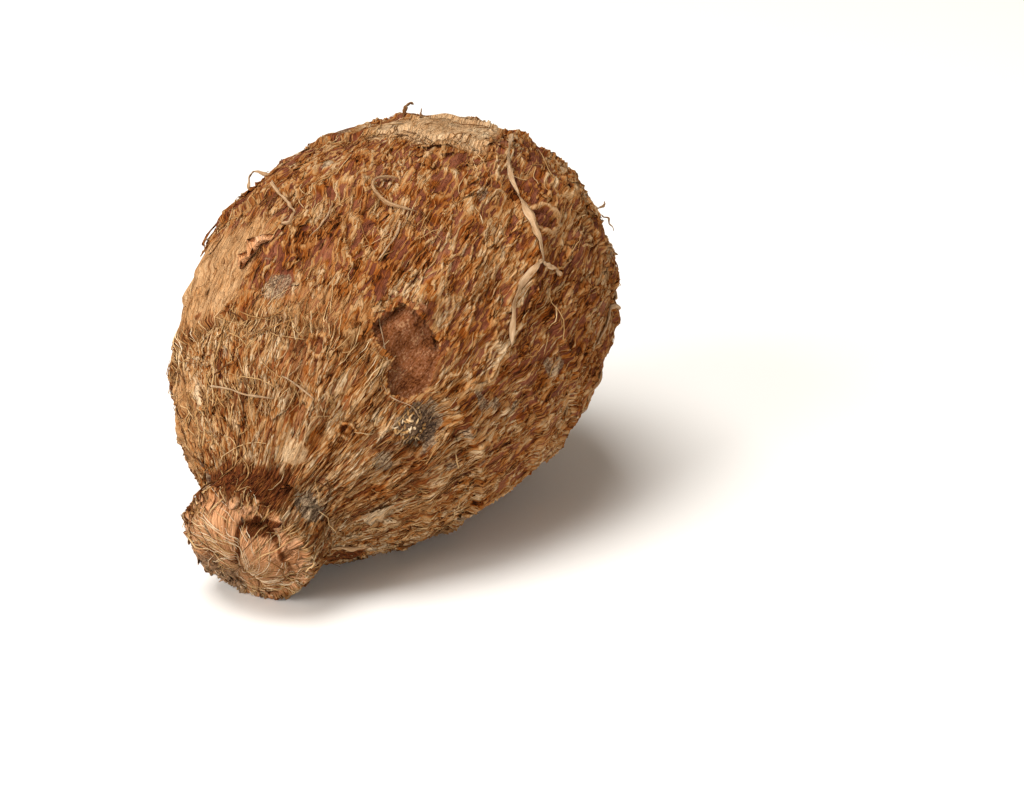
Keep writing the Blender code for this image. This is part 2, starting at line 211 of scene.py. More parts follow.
def lattice(cell: Array, seed: int) -> Array:
    """Gives every whole-number cell of a lattice its own fixed number.

    Args:
        cell: Whole coordinates, three to a cell.
        seed: Which set of numbers.

    Returns:
        Numbers from nought to one, by a hash of the three coordinates.
    """
    whole = cell.astype(np.int64).view(np.uint64)
    mixed = whole[..., 0] * np.uint64(374761393) + whole[..., 1] * np.uint64(668265263)
    mixed = mixed + whole[..., 2] * np.uint64(2147483647) + np.uint64(seed * 1274126177 % 2**40)
    mixed = (mixed ^ (mixed >> np.uint64(15))) * np.uint64(2246822519)
    mixed = (mixed ^ (mixed >> np.uint64(13))) * np.uint64(3266489917)
    mixed = mixed ^ (mixed >> np.uint64(16))
    return (mixed & np.uint64(0xFFFFFF)).astype(float) / 0xFFFFFF


def value_noise(place: Array, seed: int) -> Array:
    """Smooth noise: the numbers at a lattice cell's corners, blended by a quintic fade.

    Args:
        place: Points, in lattice cells.
        seed: Which noise.

    Returns:
        Noise from nought to one.
    """
    base = np.floor(place)
    part = place - base
    fade = part ** 3 * (part * (part * 6 - 15) + 10)
    total = np.zeros(place.shape[:-1])
    for corner in np.ndindex(2, 2, 2):
        step = np.array(corner)
        weight = np.prod(np.where(step, fade, 1 - fade), axis=-1)
        total += weight * lattice(base + step, seed)
    return total


def layered(place: Array, seed: int) -> Array:
    """Two layers of noise, the second twice as fine and half as strong, from nought to one."""
    return (value_noise(place, seed) + 0.5 * value_noise(place * 2, seed + 1)) / 1.5


@dataclass(frozen=True)
class CormForm:
    """The shape of the solid: an egg with a stubby neck, its leaf scars and lengthwise ridges."""

    neck_to_widest: float = 0.092
    widest_to_crown: float = 0.0535
    half_width: float = 0.0504
    half_height: float = 0.0467
    shoulder_reach: float = 0.0765
    neck_radius: float = 0.0141
    neck_end_rounding: float = 0.009
    neck_fillet: float = 0.0076
    neck_sideways: float = -0.0036
    neck_rise: float = 0.0010
    pole_rounding: float = 0.003
    tilt_degrees: float = 23.8
    flat_depth: float = 0.0019
    egg_power: float = 1.91
    neck_end_power: float = 2.4
    lump_spread: float = 0.018
    scar_step: float = 0.0016
    scar_gather: float = 0.6
    scar_reach: float = 0.0045
    ridge_swing: float = 1.4
    ridge_fade_neck: float = 0.045
    ridge_fade_crown: float = 0.060
    torn_depth: float = 0.0018
    torn_edge: float = 0.0016
    torn_arm: float = 0.047
    profile_samples: int = 1500
    normal_step: float = 0.0004
    solid_sides: int = 76
    solid_rings: int = 50
    ring_crowding: float = 1.18
    leaf_scars: tuple[tuple[float, ...], ...] = LEAF_SCARS
    torn_corners: tuple[tuple[float, ...], ...] = TORN_CORNERS
    mounds: tuple[tuple[float, ...], ...] = MOUNDS

    @staticmethod
    def round_off(depth: Array, reach: float, power: float) -> Array:
        """One at the shoulder, nought at full depth, along a rounded curve."""
        return np.clip(1 - np.clip(depth / reach, 0, 1) ** power, 0, 1) ** (1 / power)

    def axis_radius(self, along: Array) -> Array:
        """Height of the outline over the axis.

        Two power curves meet at the widest place, and a neck of rounded end joins them by the
        soft maximum (a + b + hypot(a - b, fillet)) / 2. A small arc rounds off both poles.

        Args:
            along: Places on the axis, from the neck's tip.

        Returns:
            The radius there, before the width is stretched.
        """
        before = np.clip((self.neck_to_widest - along) / self.shoulder_reach, 0, 1)
        front = np.sqrt(np.clip(1 - before ** self.egg_power, 0, 1))
        back = self.round_off(along - self.neck_to_widest, self.widest_to_crown, self.egg_power)
        egg = self.half_height * np.where(along < self.neck_to_widest, front, back)
        fade = np.clip(2 * (1 - along / self.neck_to_widest), 0, 1)
        depth = self.neck_end_rounding - along
        end = self.round_off(depth, self.neck_end_rounding, self.neck_end_power)
        neck = self.neck_radius * fade * end
        joined = 0.5 * (egg + neck + np.hypot(egg - neck, self.neck_fillet))
        length = self.neck_to_widest + self.widest_to_crown
        tip = self.round_off(self.pole_rounding - along, self.pole_rounding, 2)
        crown = self.round_off(along - length + self.pole_rounding, self.pole_rounding, 2)
        return joined * tip * crown

    @cached_property
    def profile(self) -> tuple[Array, Array, Array]:
        """Axis position, radius and running skin length along the outline."""
        length = self.neck_to_widest + self.widest_to_crown
        along = length * 0.5 * (1 - np.cos(np.linspace(0, np.pi, self.profile_samples)))
        radius = self.axis_radius(along)
        steps = np.hypot(np.diff(along), np.diff(radius))
        return along, radius, np.concatenate([[0.0], np.cumsum(steps)])

    @property
    def skin_length(self) -> float:
        """Length of the skin from the neck's tip to the crown."""
        return self.profile[2][-1]

    def arm(self, skin: Array) -> Array:
        """Radius at a skin distance, never less than the neck's."""
        return np.maximum(np.interp(skin, self.profile[2], self.profile[1]), self.neck_radius * 0.7)

    def bend(self, along: Array) -> Array:
        """How far the axis has left its straight line, from nothing at the belly."""
        return np.clip(1 - along / self.neck_to_widest, 0, 1) ** 2

    def plain(self, skin: Array, turn: Array) -> Array:
        """Point of the plain corm at a skin distance and a turn in radians.

        Args:
            skin: Skin distances.
            turn: Turns in radians.

        Returns:
            Points, in the corm's own frame.
        """
        along = np.interp(skin, self.profile[2], self.profile[0])
        radius = np.interp(skin, self.profile[2], self.profile[1])
        stretch = self.half_width / self.half_height
        across = radius * np.cos(turn) * stretch + self.neck_sideways * self.bend(along)
        height = radius * np.sin(turn) + self.neck_rise * self.bend(along)
        return np.stack([across, along, height], axis=-1)

    def lumpy(self, skin: Array, turn: Array) -> Array:
        """The plain corm with soft lumps pushed out by a bell curve round chosen points.

        Args:
            skin: Skin distances.
            turn: Turns in radians.

        Returns:
            Points, in the corm's own frame.
        """
        point = self.plain(skin, turn)
        along = point[..., 1]
        core = np.stack([
            self.neck_sideways * self.bend(along),
            self.neck_to_widest + 0.35 * (along - self.neck_to_widest),
            self.neck_rise * self.bend(along),
        ], axis=-1)
        outward = point - core
        outward /= np.maximum(np.linalg.norm(outward, axis=-1, keepdims=True), 1e-9)
        moved = point.copy()
        for share, degrees, height in LUMPS:
            place = np.interp(share * self.profile[0][-1], self.profile[0], self.profile[2])
            centre = self.plain(np.asarray(place), np.radians(degrees))
            distance = np.linalg.norm(point - centre, axis=-1)
            moved += outward * (height * np.exp(-0.5 * (distance / self.lump_spread) ** 2))[..., None]
        return moved

    def outward(self, skin: Array, turn: Array) -> Array:
        """Unit normal of the lumpy form, from its slopes along and round the skin.

        Args:
            skin: Skin distances.
            turn: Turns in radians.

        Returns:
            Unit vectors.
        """
        step = self.normal_step
        near = np.clip(skin, 2 * step, self.skin_length - 2 * step)
        along = self.lumpy(near + step, turn) - self.lumpy(near - step, turn)
        spin = step / self.half_height
        around = self.lumpy(near, turn + spin) - self.lumpy(near, turn - spin)
        normal = np.cross(along, around)
        return normal / np.maximum(np.linalg.norm(normal, axis=-1, keepdims=True), 1e-12)

    def past_scar(self, skin: Array, turn: Array, place: float, sway: float, direction: float) -> Array:
        """Distance beyond a leaf scar, whose ring sways to one side of its place."""
        return skin - place - sway * np.cos(turn - np.radians(direction))

    def gathered(self, skin: Array, turn: Array) -> Array:
        """Skin distances drawn in towards the leaf scars, so that each lip stays crisp.

        Args:
            skin: Skin distances.
            turn: Turns in radians.

        Returns:
            The moved skin distances; both poles stay.
        """
        moved = skin.copy()
        for place, sway, direction, _, _ in self.leaf_scars:
            past = self.past_scar(skin, turn, place, sway, direction)
            moved -= self.scar_gather * past * np.exp(-(past / self.scar_reach) ** 2)
        return np.where((skin > 0) & (skin < self.skin_length), moved, skin)

    def scar_relief(self, skin: Array, turn: Array) -> Array:
        """Each leaf scar is a lip with a steep step below and an exponential run-out above.

        Args:
            skin: Skin distances.
            turn: Turns in radians.

        Returns:
            Heights.
        """
        height = np.zeros_like(skin)
        for place, sway, direction, lip, run_out in self.leaf_scars:
            past = self.past_scar(skin, turn, place, sway, direction)
            rise = smooth_step(past / self.scar_step + 0.5)
            height += lip * rise * np.exp(-np.clip(past, 0, None) / run_out)
        return height

    def ridge_relief(self, skin: Array, turn: Array) -> Array:
        """Sine ridges along the corm, which wander as they go and die out at both ends.

        Args:
            skin: Skin distances.
            turn: Turns in radians.

        Returns:
            Heights.
        """
        height = np.zeros_like(skin)
        for count, size, drift in RIDGES:
            height += size * np.sin(count * turn + self.ridge_swing * np.sin(drift * skin + count))
        fade = smooth_step(skin / self.ridge_fade_neck)
        return height * fade * smooth_step((self.skin_length - skin) / self.ridge_fade_crown)

    def into_torn(self, skin: Array, turn: Array) -> Array:
        """Signed distance into the torn patch, a polygon on the skin laid flat.

        Args:
            skin: Skin distances.
            turn: Turns in radians.

        Returns:
            Metres from the nearest side, above nought inside.
        """
        corner = np.array(self.torn_corners) * [1.0, np.radians(self.torn_arm)]
        spot = np.stack([skin, turn * self.torn_arm], axis=-1)
        nearest = np.full(skin.shape, 1.0)
        inside = np.zeros(skin.shape, dtype=bool)
        for start, end in zip(corner, np.roll(corner, -1, axis=0)):
            side = end - start
            share = np.clip(((spot - start) @ side) / (side @ side), 0, 1)
            gap = np.linalg.norm(spot - start - share[..., None] * side, axis=-1)
            nearest = np.minimum(nearest, gap)
            crosses = (start[1] > spot[..., 1]) != (end[1] > spot[..., 1])
            level = start[0] + (spot[..., 1] - start[1]) * side[0] / (side[1] if side[1] else 1e-9)
            inside ^= crosses & (spot[..., 0] < level)
        return np.where(inside, nearest, -nearest)

    def torn_relief(self, skin: Array, turn: Array) -> Array:
        """The torn patch is sunk by a short eased step."""
        return -self.torn_depth * smooth_step(self.into_torn(skin, turn) / self.torn_edge + 0.5)

    def mound_relief(self, skin: Array, turn: Array, form: Array) -> Array:
        """Bud scars, the neck's lobes with their hollow, and the crown's bud: bell curves.

        Args:
            skin: Skin distances.
            turn: Turns in radians.
            form: Points of the lumpy form.

        Returns:
            Heights.
        """
        height = np.zeros_like(skin)
        for place, degrees, radius, size in self.mounds:
            centre = self.lumpy(np.asarray(min(place, self.skin_length)), np.radians(degrees))
            share = np.linalg.norm(form - centre, axis=-1) / radius
            height += size * np.exp(-share ** 2)
        return height

    def relief(self, skin: Array, turn: Array, form: Array) -> Array:
        """Height of scars, ridges and mounds together."""
        carved = self.scar_relief(skin, turn) + self.ridge_relief(skin, turn)
        return carved + self.mound_relief(skin, turn, form)

    def solid_point(self, skin: Array, turn: Array) -> Array:
        """Point on the solid's skin in the corm's own frame.

        Args:
            skin: Skin distances.
            turn: Turns in radians.

        Returns:
            Points, in the corm's own frame.
        """
        form = self.lumpy(skin, turn)
        relief = self.relief(skin, turn, form) + self.torn_relief(skin, turn)
        return form + self.outward(skin, turn) * relief[..., None]

    def tipped(self, point: Array) -> Array:
        """Tips the corm's own frame about X until neck and belly are level.

        Args:
            point: Points or directions of the corm's own frame.

        Returns:
            The same, tipped.
        """
        angle = np.radians(self.tilt_degrees)
        along, height = point[..., 1], point[..., 2]
        return np.stack([
            point[..., 0],
            along * np.cos(angle) - height * np.sin(angle),
            along * np.sin(angle) + height * np.cos(angle),
        ], axis=-1)

    @cached_property
    def shift(self) -> Array:
        """Move that lays the tipped corm over the origin, worked out on the solid's own mesh."""
        share, turn = np.meshgrid(
            np.linspace(0, 1, self.solid_rings + 1),
            np.linspace(-np.pi, np.pi, self.solid_sides + 1),
            indexing="ij",
        )
        skin = self.gathered(self.skin_length * share ** self.ring_crowding, turn)
        point = self.tipped(self.solid_point(skin, turn)).reshape(-1, 3)
        low, high = point.min(axis=0), point.max(axis=0)
        middle = -0.5 * (low + high)
        return np.array([middle[0], middle[1], -low[2] - self.flat_depth])


FORM = CormForm()
SEEN_FORM = replace(FORM, leaf_scars=SEEN_SCARS, torn_corners=SEEN_TORN, mounds=SEEN_MOUNDS)
KINDS_OF_SKIN = ("pale", "neck", "dark", "grey", "torn")


@dataclass(frozen=True)
class Places:
    """Places on the finished skin, by skin distance and turn, and which kind of skin lies there.

    Each kind is a share from nought to one. Heights and depths are in metres, and noise cells
    in millimetres.
    """

    skin: Array
    turn: Array
    cork_width: float = 3.0
    cork_length: float = 11.0
    cork_height: float = 0.00050
    crease_height: float = 0.00035
    ground_height: float = 0.0008
    pit_depth: float = 0.0016
    bud_depth: float = 0.0019
    torn_depth: float = 0.0021
    end_fade: float = 0.004
    folds_end: float = 0.030
    grain_arm: float = 48.0

    def __getitem__(self, part: object) -> "Places":
        """Some of the places."""
        return Places(self.skin[part], self.turn[part])

    @cached_property
    def grain(self) -> Array:
        """Seamless pattern coordinates in millimetres: a circle of fixed size, carried along."""
        arm = self.grain_arm
        return np.stack([arm * np.cos(self.turn), arm * np.sin(self.turn), self.skin / MM], axis=-1)

    def noise(self, across: float, along: float, seed: int) -> Array:
        """Noise on the skin whose cells have a width and a length."""
        return layered(self.grain / np.array([across, across, along]), seed)

    @cached_property
    def ragged(self) -> Array:
        """Noise that makes the edges of all spots ragged, from minus a half to a half."""
        return self.noise(2.2, 2.2, 71) - 0.5

    @cached_property
    def flow(self) -> Array:
        """Heading that neighbours share: noise swings it either way from the corm's length."""
        return (self.noise(16, 16, 53) - 0.5) * 1.1

    def gap(self, place: float, degrees: float) -> Array:
        """Distance along the skin from one place on it."""
        swing = (self.turn - np.radians(degrees) + np.pi) % (2 * np.pi) - np.pi
        return np.hypot(self.skin - place, swing * FORM.arm(place))

    def patch(self, place: float, degrees: float, radius: float) -> Array:
        """A ragged spot on the skin: one inside its radius, nought outside."""
        inside = radius - self.gap(place, degrees) - self.ragged * radius * 0.9
        return smooth_step(inside / (0.35 * radius) + 0.5)

    def around(self, low: float, high: float, edge: float) -> Array:
        """One between two turns in degrees, with a soft edge."""
        swing = np.abs((np.degrees(self.turn) - 0.5 * (low + high) + 180) % 360 - 180)
        return smooth_step((0.5 * (high - low) - swing) / edge + 0.5)

    def zone(self, zone: Zone) -> Array:
        """A zone's strength inside it, nought outside.

        Args:
            zone: Which zone.

        Returns:
            Shares from nought to its strength.
        """
        inside = (self.skin - zone.skin[0], zone.skin[1] - self.skin)
        rise, fall = (smooth_step(gap / zone.skin_edge + 0.5) for gap in inside)
        return zone.share * rise * fall * self.around(*zone.turns, zone.turn_edge)

    def spotted(self, spots: Spots) -> Array:
        """The greatest strength of some ragged spots."""
        return np.maximum.reduce([share * self.patch(*spot) for *spot, share in spots])

    @cached_property
    def torn(self) -> Array:
        """The torn patch, with a ragged edge."""
        ragged = (self.noise(1.4, 1.4, 77) - 0.5) * 0.0014
        return smooth_step((SEEN_FORM.into_torn(self.skin, self.turn) + ragged) / 0.0006 + 0.5)

    @cached_property
    def past_lip(self) -> Array:
        """Distance beyond the neck's ragged lip."""
        ragged = (self.noise(3.0, 3.0, 79) - 0.5) * 0.004
        return SEEN_FORM.past_scar(self.skin, self.turn, *SEEN_SCARS[0][:3]) + ragged

    @cached_property
    def neck(self) -> Array:
        """The neck, short of its lip."""
        return smooth_step(0.5 - self.past_lip / 0.0015)

    def in_fold(self, fold: Fold) -> Array:
        """A fold of the neck, by a bell curve of the distance to its line.

        Args:
            fold: Which fold.

        Returns:
            Shares from nought to one.
        """
        knot = np.array(fold.line)
        line = SEEN_FORM.lumpy(knot[:, 0], np.radians(knot[:, 1]))
        near = self.skin < self.folds_end
        spot = SEEN_FORM.lumpy(self.skin[near], self.turn[near])
        nearest = np.full(spot.shape[:-1], 1.0)
        for start, end in zip(line, line[1:]):
            side = end - start
            share = np.clip(((spot - start) @ side) / (side @ side), 0, 1)
            gap = np.linalg.norm(spot - start - share[..., None] * side, axis=-1)
            nearest = np.minimum(nearest, gap)
        found = np.zeros(self.skin.shape)
        found[near] = np.exp(-(nearest / fold.width) ** 2)
        return found

    @cached_property
    def folds(self) -> tuple[Array, Array]:
        """Depth and painted shade of all the neck's folds together."""
        found = [(fold, self.in_fold(fold)) for fold in FOLDS]
        depth = np.maximum.reduce([fold.depth * share for fold, share in found])
        return depth, np.maximum.reduce([fold.dark * share for fold, share in found])

    @cached_property
    def flank(self) -> Array:
        """The smooth left flank beyond the fringed leaf scar."""
        return self.zone(SMOOTH_FLANK)

    @cached_property
    def shaggy(self) -> Array:
        """The skin below the fringed leaf scar, where the cork stands dense and fibrous."""
        return smooth_step((0.064 - self.skin) / 0.010 + 0.5)

    @cached_property
    def pale(self) -> Array:
        """Pale tan skin: a band over the top, the left flank and a few rubbed spots, and painted light
        on the neck's grey end.
        """
        found = [self.zone(zone) for zone in (PALE_BAND, PALE_LOW_LEFT, PALE_RING)]
        found += [self.spotted(PALE_AND_LIT_SPOTS), 0.7 * self.flank]
        return np.clip(np.maximum.reduce(found), 0, 1)

    @cached_property
    def dark(self) -> Array:
        """Dark brown skin behind the neck's lip and in blotches, with painted shade under the fringed
        leaf scar's lip, in the neck's hollow and folds and beside the bud scar.
        """
        behind = smooth_step(self.past_lip / 0.001) * smooth_step((0.016 - self.past_lip) / 0.008)
        blotch = smooth_step((self.noise(12, 18, 83) - 0.60) / 0.08)
        found = [behind * self.around(58, 172, 14), self.zone(DARK_AND_SHADED_FRINGE), 0.35 * blotch]
        found += [self.spotted(DARK_AND_SHADED_SPOTS), self.folds[1]]
        return np.clip(np.maximum.reduce(found), 0, 1)

    @cached_property
    def grey(self) -> Array:
        """Grey skin: weathered spots, the bud scar's pit and the neck's end."""
        blotch = smooth_step((self.noise(7, 7, 89) - 0.755) / 0.06)
        return np.clip(np.maximum(self.spotted(GREY_SPOTS), 0.6 * blotch), 0, 1)

    @property
    def marks(self) -> dict[str, Array]:
        """The kinds of skin by name, as attributes for the finish."""
        return {name: getattr(self, name) for name in KINDS_OF_SKIN}

    @cached_property
    def bare(self) -> Array:
        """Skin without cork: the torn patch, the scars, the pale band and the neck's tip."""
        tip = smooth_step((0.010 - self.skin) / 0.003 + 0.5)
        found = [self.torn, self.zone(BARE_BAND), tip, self.spotted(BARE_SPOTS)]
        return np.clip(np.maximum.reduce(found), 0, 1)

    @cached_property
    def cork(self) -> Array:
        """Low cork ridges: thin lines where warped, drawn-out noise crosses its middle."""
        warp = (self.noise(6, 8, 11) - 0.5) * 0.10
        drawn = Places(self.skin, self.turn + warp).noise(self.cork_width, self.cork_length, 17)
        half = 0.050 + 0.025 * self.shaggy
        lines = smooth_step((half - np.abs(drawn - 0.5)) / 0.04 + 0.5)
        smooth = np.maximum(0.95 * self.neck, 0.8 * self.flank)
        return lines * (1 - 0.9 * self.bare) * (1 - smooth)

    @cached_property
    def fine_relief(self) -> Array:
        """Height of the fine cork over the seen form.

        Plates stand by cork_height, creases of folded noise cut in by crease_height, a broad
        noise rolls the ground, and the pits are pressed in. All but the pits fade at both poles.
        """
        calm = 1 - np.maximum(0.8 * self.bare, 0.6 * self.flank)
        folded = np.abs(2 * self.noise(1.6, 7.0, 23) - 1)
        cracked = smooth_step(1 - folded / 0.14) * calm * (0.7 + 1.1 * self.shaggy)
        ground = self.ground_height * (self.noise(7, 10, 29) - 0.5)
        to_crown = FORM.skin_length - self.skin
        ends = smooth_step(self.skin / self.end_fade) * smooth_step(to_crown / self.end_fade)
        rough = self.cork_height * self.cork - self.crease_height * cracked + ground
        return rough * ends + self.pits

    @cached_property
    def pits(self) -> Array:
        """Depth of the torn patch, the neck's folds, the root scars and the bud scar.

        A root scar is a bell curve of the fourth power, as deep as its radius asks. The bud
        scar is a flat-floored pit of the eighth power with a ragged edge.
        """
        depth = -self.torn_depth * self.torn - self.folds[0]
        for place, degrees, radius in ROOT_SCARS:
            share = self.gap(place, degrees) / radius
            depth -= self.pit_depth * (radius / SCAR_SIZE) * np.exp(-share ** 4)
        ragged = 1 + 0.25 * (self.noise(2.5, 2.5, 73) - 0.5)
        share = self.gap(*BUD_SCAR[:2]) * ragged / BUD_SCAR[2]
        return depth - self.bud_depth * np.exp(-share ** 8)

    def smooth_point(self, above: Array) -> Array:
        """Points of the world over the seen form, pressed flat at the floor.

        Args:
            above: Heights over the seen form.

        Returns:
            Points of the world.
        """
        base = SEEN_FORM.lumpy(self.skin, self.turn)
        lifted = (SEEN_FORM.relief(self.skin, self.turn, base) + above)[..., None]
        world = SEEN_FORM.tipped(base + SEEN_FORM.outward(self.skin, self.turn) * lifted) + FORM.shift
        world[..., 2] = np.maximum(world[..., 2], 0.0)
        return world

    def point(self, above: Array | float = 0.0) -> Array:
        """Points of the world on the finished skin, raised by a height."""
        inside = Places(np.clip(self.skin, 0, FORM.skin_length), self.turn)
        return inside.smooth_point(inside.fine_relief + above)


UV_NAME = "OFBake"
# Length of one sway of a strip, the skin distances that strips keep to, and how near a pole
# their edges come, in metres
SWAY_WAVE = 0.0085
WHOLE_SKIN = (0.002, 0.203)
POLE_GAP = 0.0008
TRIES_TO_A_PLACE = 14


def build_object(
    name: str, points: Array, loops: Array, sizes: Array, uv: Array,
    numbers: dict[str, Array], material: bpy.types.Material,
) -> bpy.types.Object:
    """Makes a mesh object at the origin from whole arrays.

    Args:
        name: Name of the object and its mesh.
        points: Vertex places in metres.
        loops: Vertex numbers of all faces in a row.
        sizes: How many corners each face has.
        uv: Map coordinates of each corner.
        numbers: Attributes of the vertices, one number or three to each.
        material: The finish.

    Returns:
        The object, linked to the scene.
    """
    mesh = bpy.data.meshes.new(name)
    mesh.vertices.add(len(points))
    mesh.vertices.foreach_set("co", points.astype(np.float32).ravel())
    mesh.loops.add(len(loops))
    mesh.loops.foreach_set("vertex_index", loops.astype(np.int32))
    mesh.polygons.add(len(sizes))
    starts = np.concatenate([[0], np.cumsum(sizes)[:-1]])
    mesh.polygons.foreach_set("loop_start", starts.astype(np.int32))
    mesh.update(calc_edges=True)
    mesh.polygons.foreach_set("use_smooth", np.ones(len(sizes), dtype=bool))
    layer = mesh.uv_layers.new(name=UV_NAME)
    layer.data.foreach_set("uv", uv.astype(np.float32).ravel())
    for title, values in numbers.items():
        kind, slot = ("FLOAT_VECTOR", "vector") if values.ndim == 2 else ("FLOAT", "value")
        made = mesh.attributes.new(title, kind, "POINT")
        made.data.foreach_set(slot, values.astype(np.float32).ravel())
    mesh.materials.append(material)
    mesh.validate()
    made_object = bpy.data.objects.new(name, mesh)
    bpy.context.scene.collection.objects.link(made_object)
    return made_object


def loft_object(
    name: str, rings: Array, numbers: dict[str, Array], material: bpy.types.Material,
) -> bpy.types.Object:
    """Closes many strips at once: each is a row of rings joined by quads, with a face at both ends.

    Args:
        name: Name of the object.
        rings: Points, by strip, ring and corner.
        numbers: Attributes by strip, ring and corner, or values that spread over them.
        material: The finish.

    Returns:
        The object.
    """
    strips, stations, corners = rings.shape[:3]
    index = np.arange(strips * stations * corners).reshape(strips, stations, corners)
    right = np.roll(index, -1, axis=2)
    quads = np.stack([index[:, :-1], index[:, 1:], right[:, 1:], right[:, :-1]], axis=-1)
    loops = np.concatenate([quads.reshape(-1), index[:, 0].reshape(-1), index[:, -1, ::-1].reshape(-1)])
    quad_count = strips * (stations - 1) * corners
    sizes = np.concatenate([np.full(quad_count, 4), np.full(2 * strips, corners)])
    flat = {}
    for title, values in numbers.items():
        wide = (*rings.shape[:3], 3) if values.ndim == 4 else rings.shape[:3]
        flat[title] = np.broadcast_to(values, wide).reshape(-1, *wide[3:])
    return build_object(
        name, rings.reshape(-1, 3), loops, sizes, strip_map(strips, stations, corners), flat, material,
    )


def strip_map(strips: int, stations: int, corners: int) -> Array:
    """Map coordinates of lofted strips: each strip has its own square cell, with its ends at the sides.

    Args:
        strips: How many strips.
        stations: Rings to a strip.
        corners: Corners to a ring.

    Returns:
        Coordinates of every face corner, in the order that loft_object lists them.
    """
    across = np.arange(corners)
    columns = int(np.ceil(np.sqrt(strips)))
    cell = np.stack(np.divmod(np.arange(strips), columns), axis=-1)[:, ::-1] / columns
    along = 0.08 + 0.84 * np.arange(stations) / (stations - 1)
    shape = (stations - 1, corners)
    low, high = np.broadcast_to(along[:-1, None], shape), np.broadcast_to(along[1:, None], shape)
    left = np.broadcast_to(0.08 + 0.84 * across / corners, shape)
    right = left + 0.84 / corners
    pairs = ((low, left), (high, left), (high, right), (low, right))
    quad = np.stack([np.stack(pair, axis=-1) for pair in pairs], axis=-2)
    spin = 2 * np.pi * across / corners
    start = np.stack([0.035 + 0.03 * np.cos(spin), 0.5 - 0.3 * np.sin(spin)], axis=-1)
    end = np.stack([0.965 + 0.03 * np.cos(spin), 0.5 + 0.3 * np.sin(spin)], axis=-1)
    return np.concatenate([
        (cell[:, None, None, None] + quad[None] / columns).reshape(-1, 2),
        (cell[:, None] + start[None] / columns).reshape(-1, 2),
        (cell[:, None] + end[None] / columns).reshape(-1, 2),
    ])


Socket = bpy.types.NodeSocket
Stops = tuple[tuple[float, str], ...]


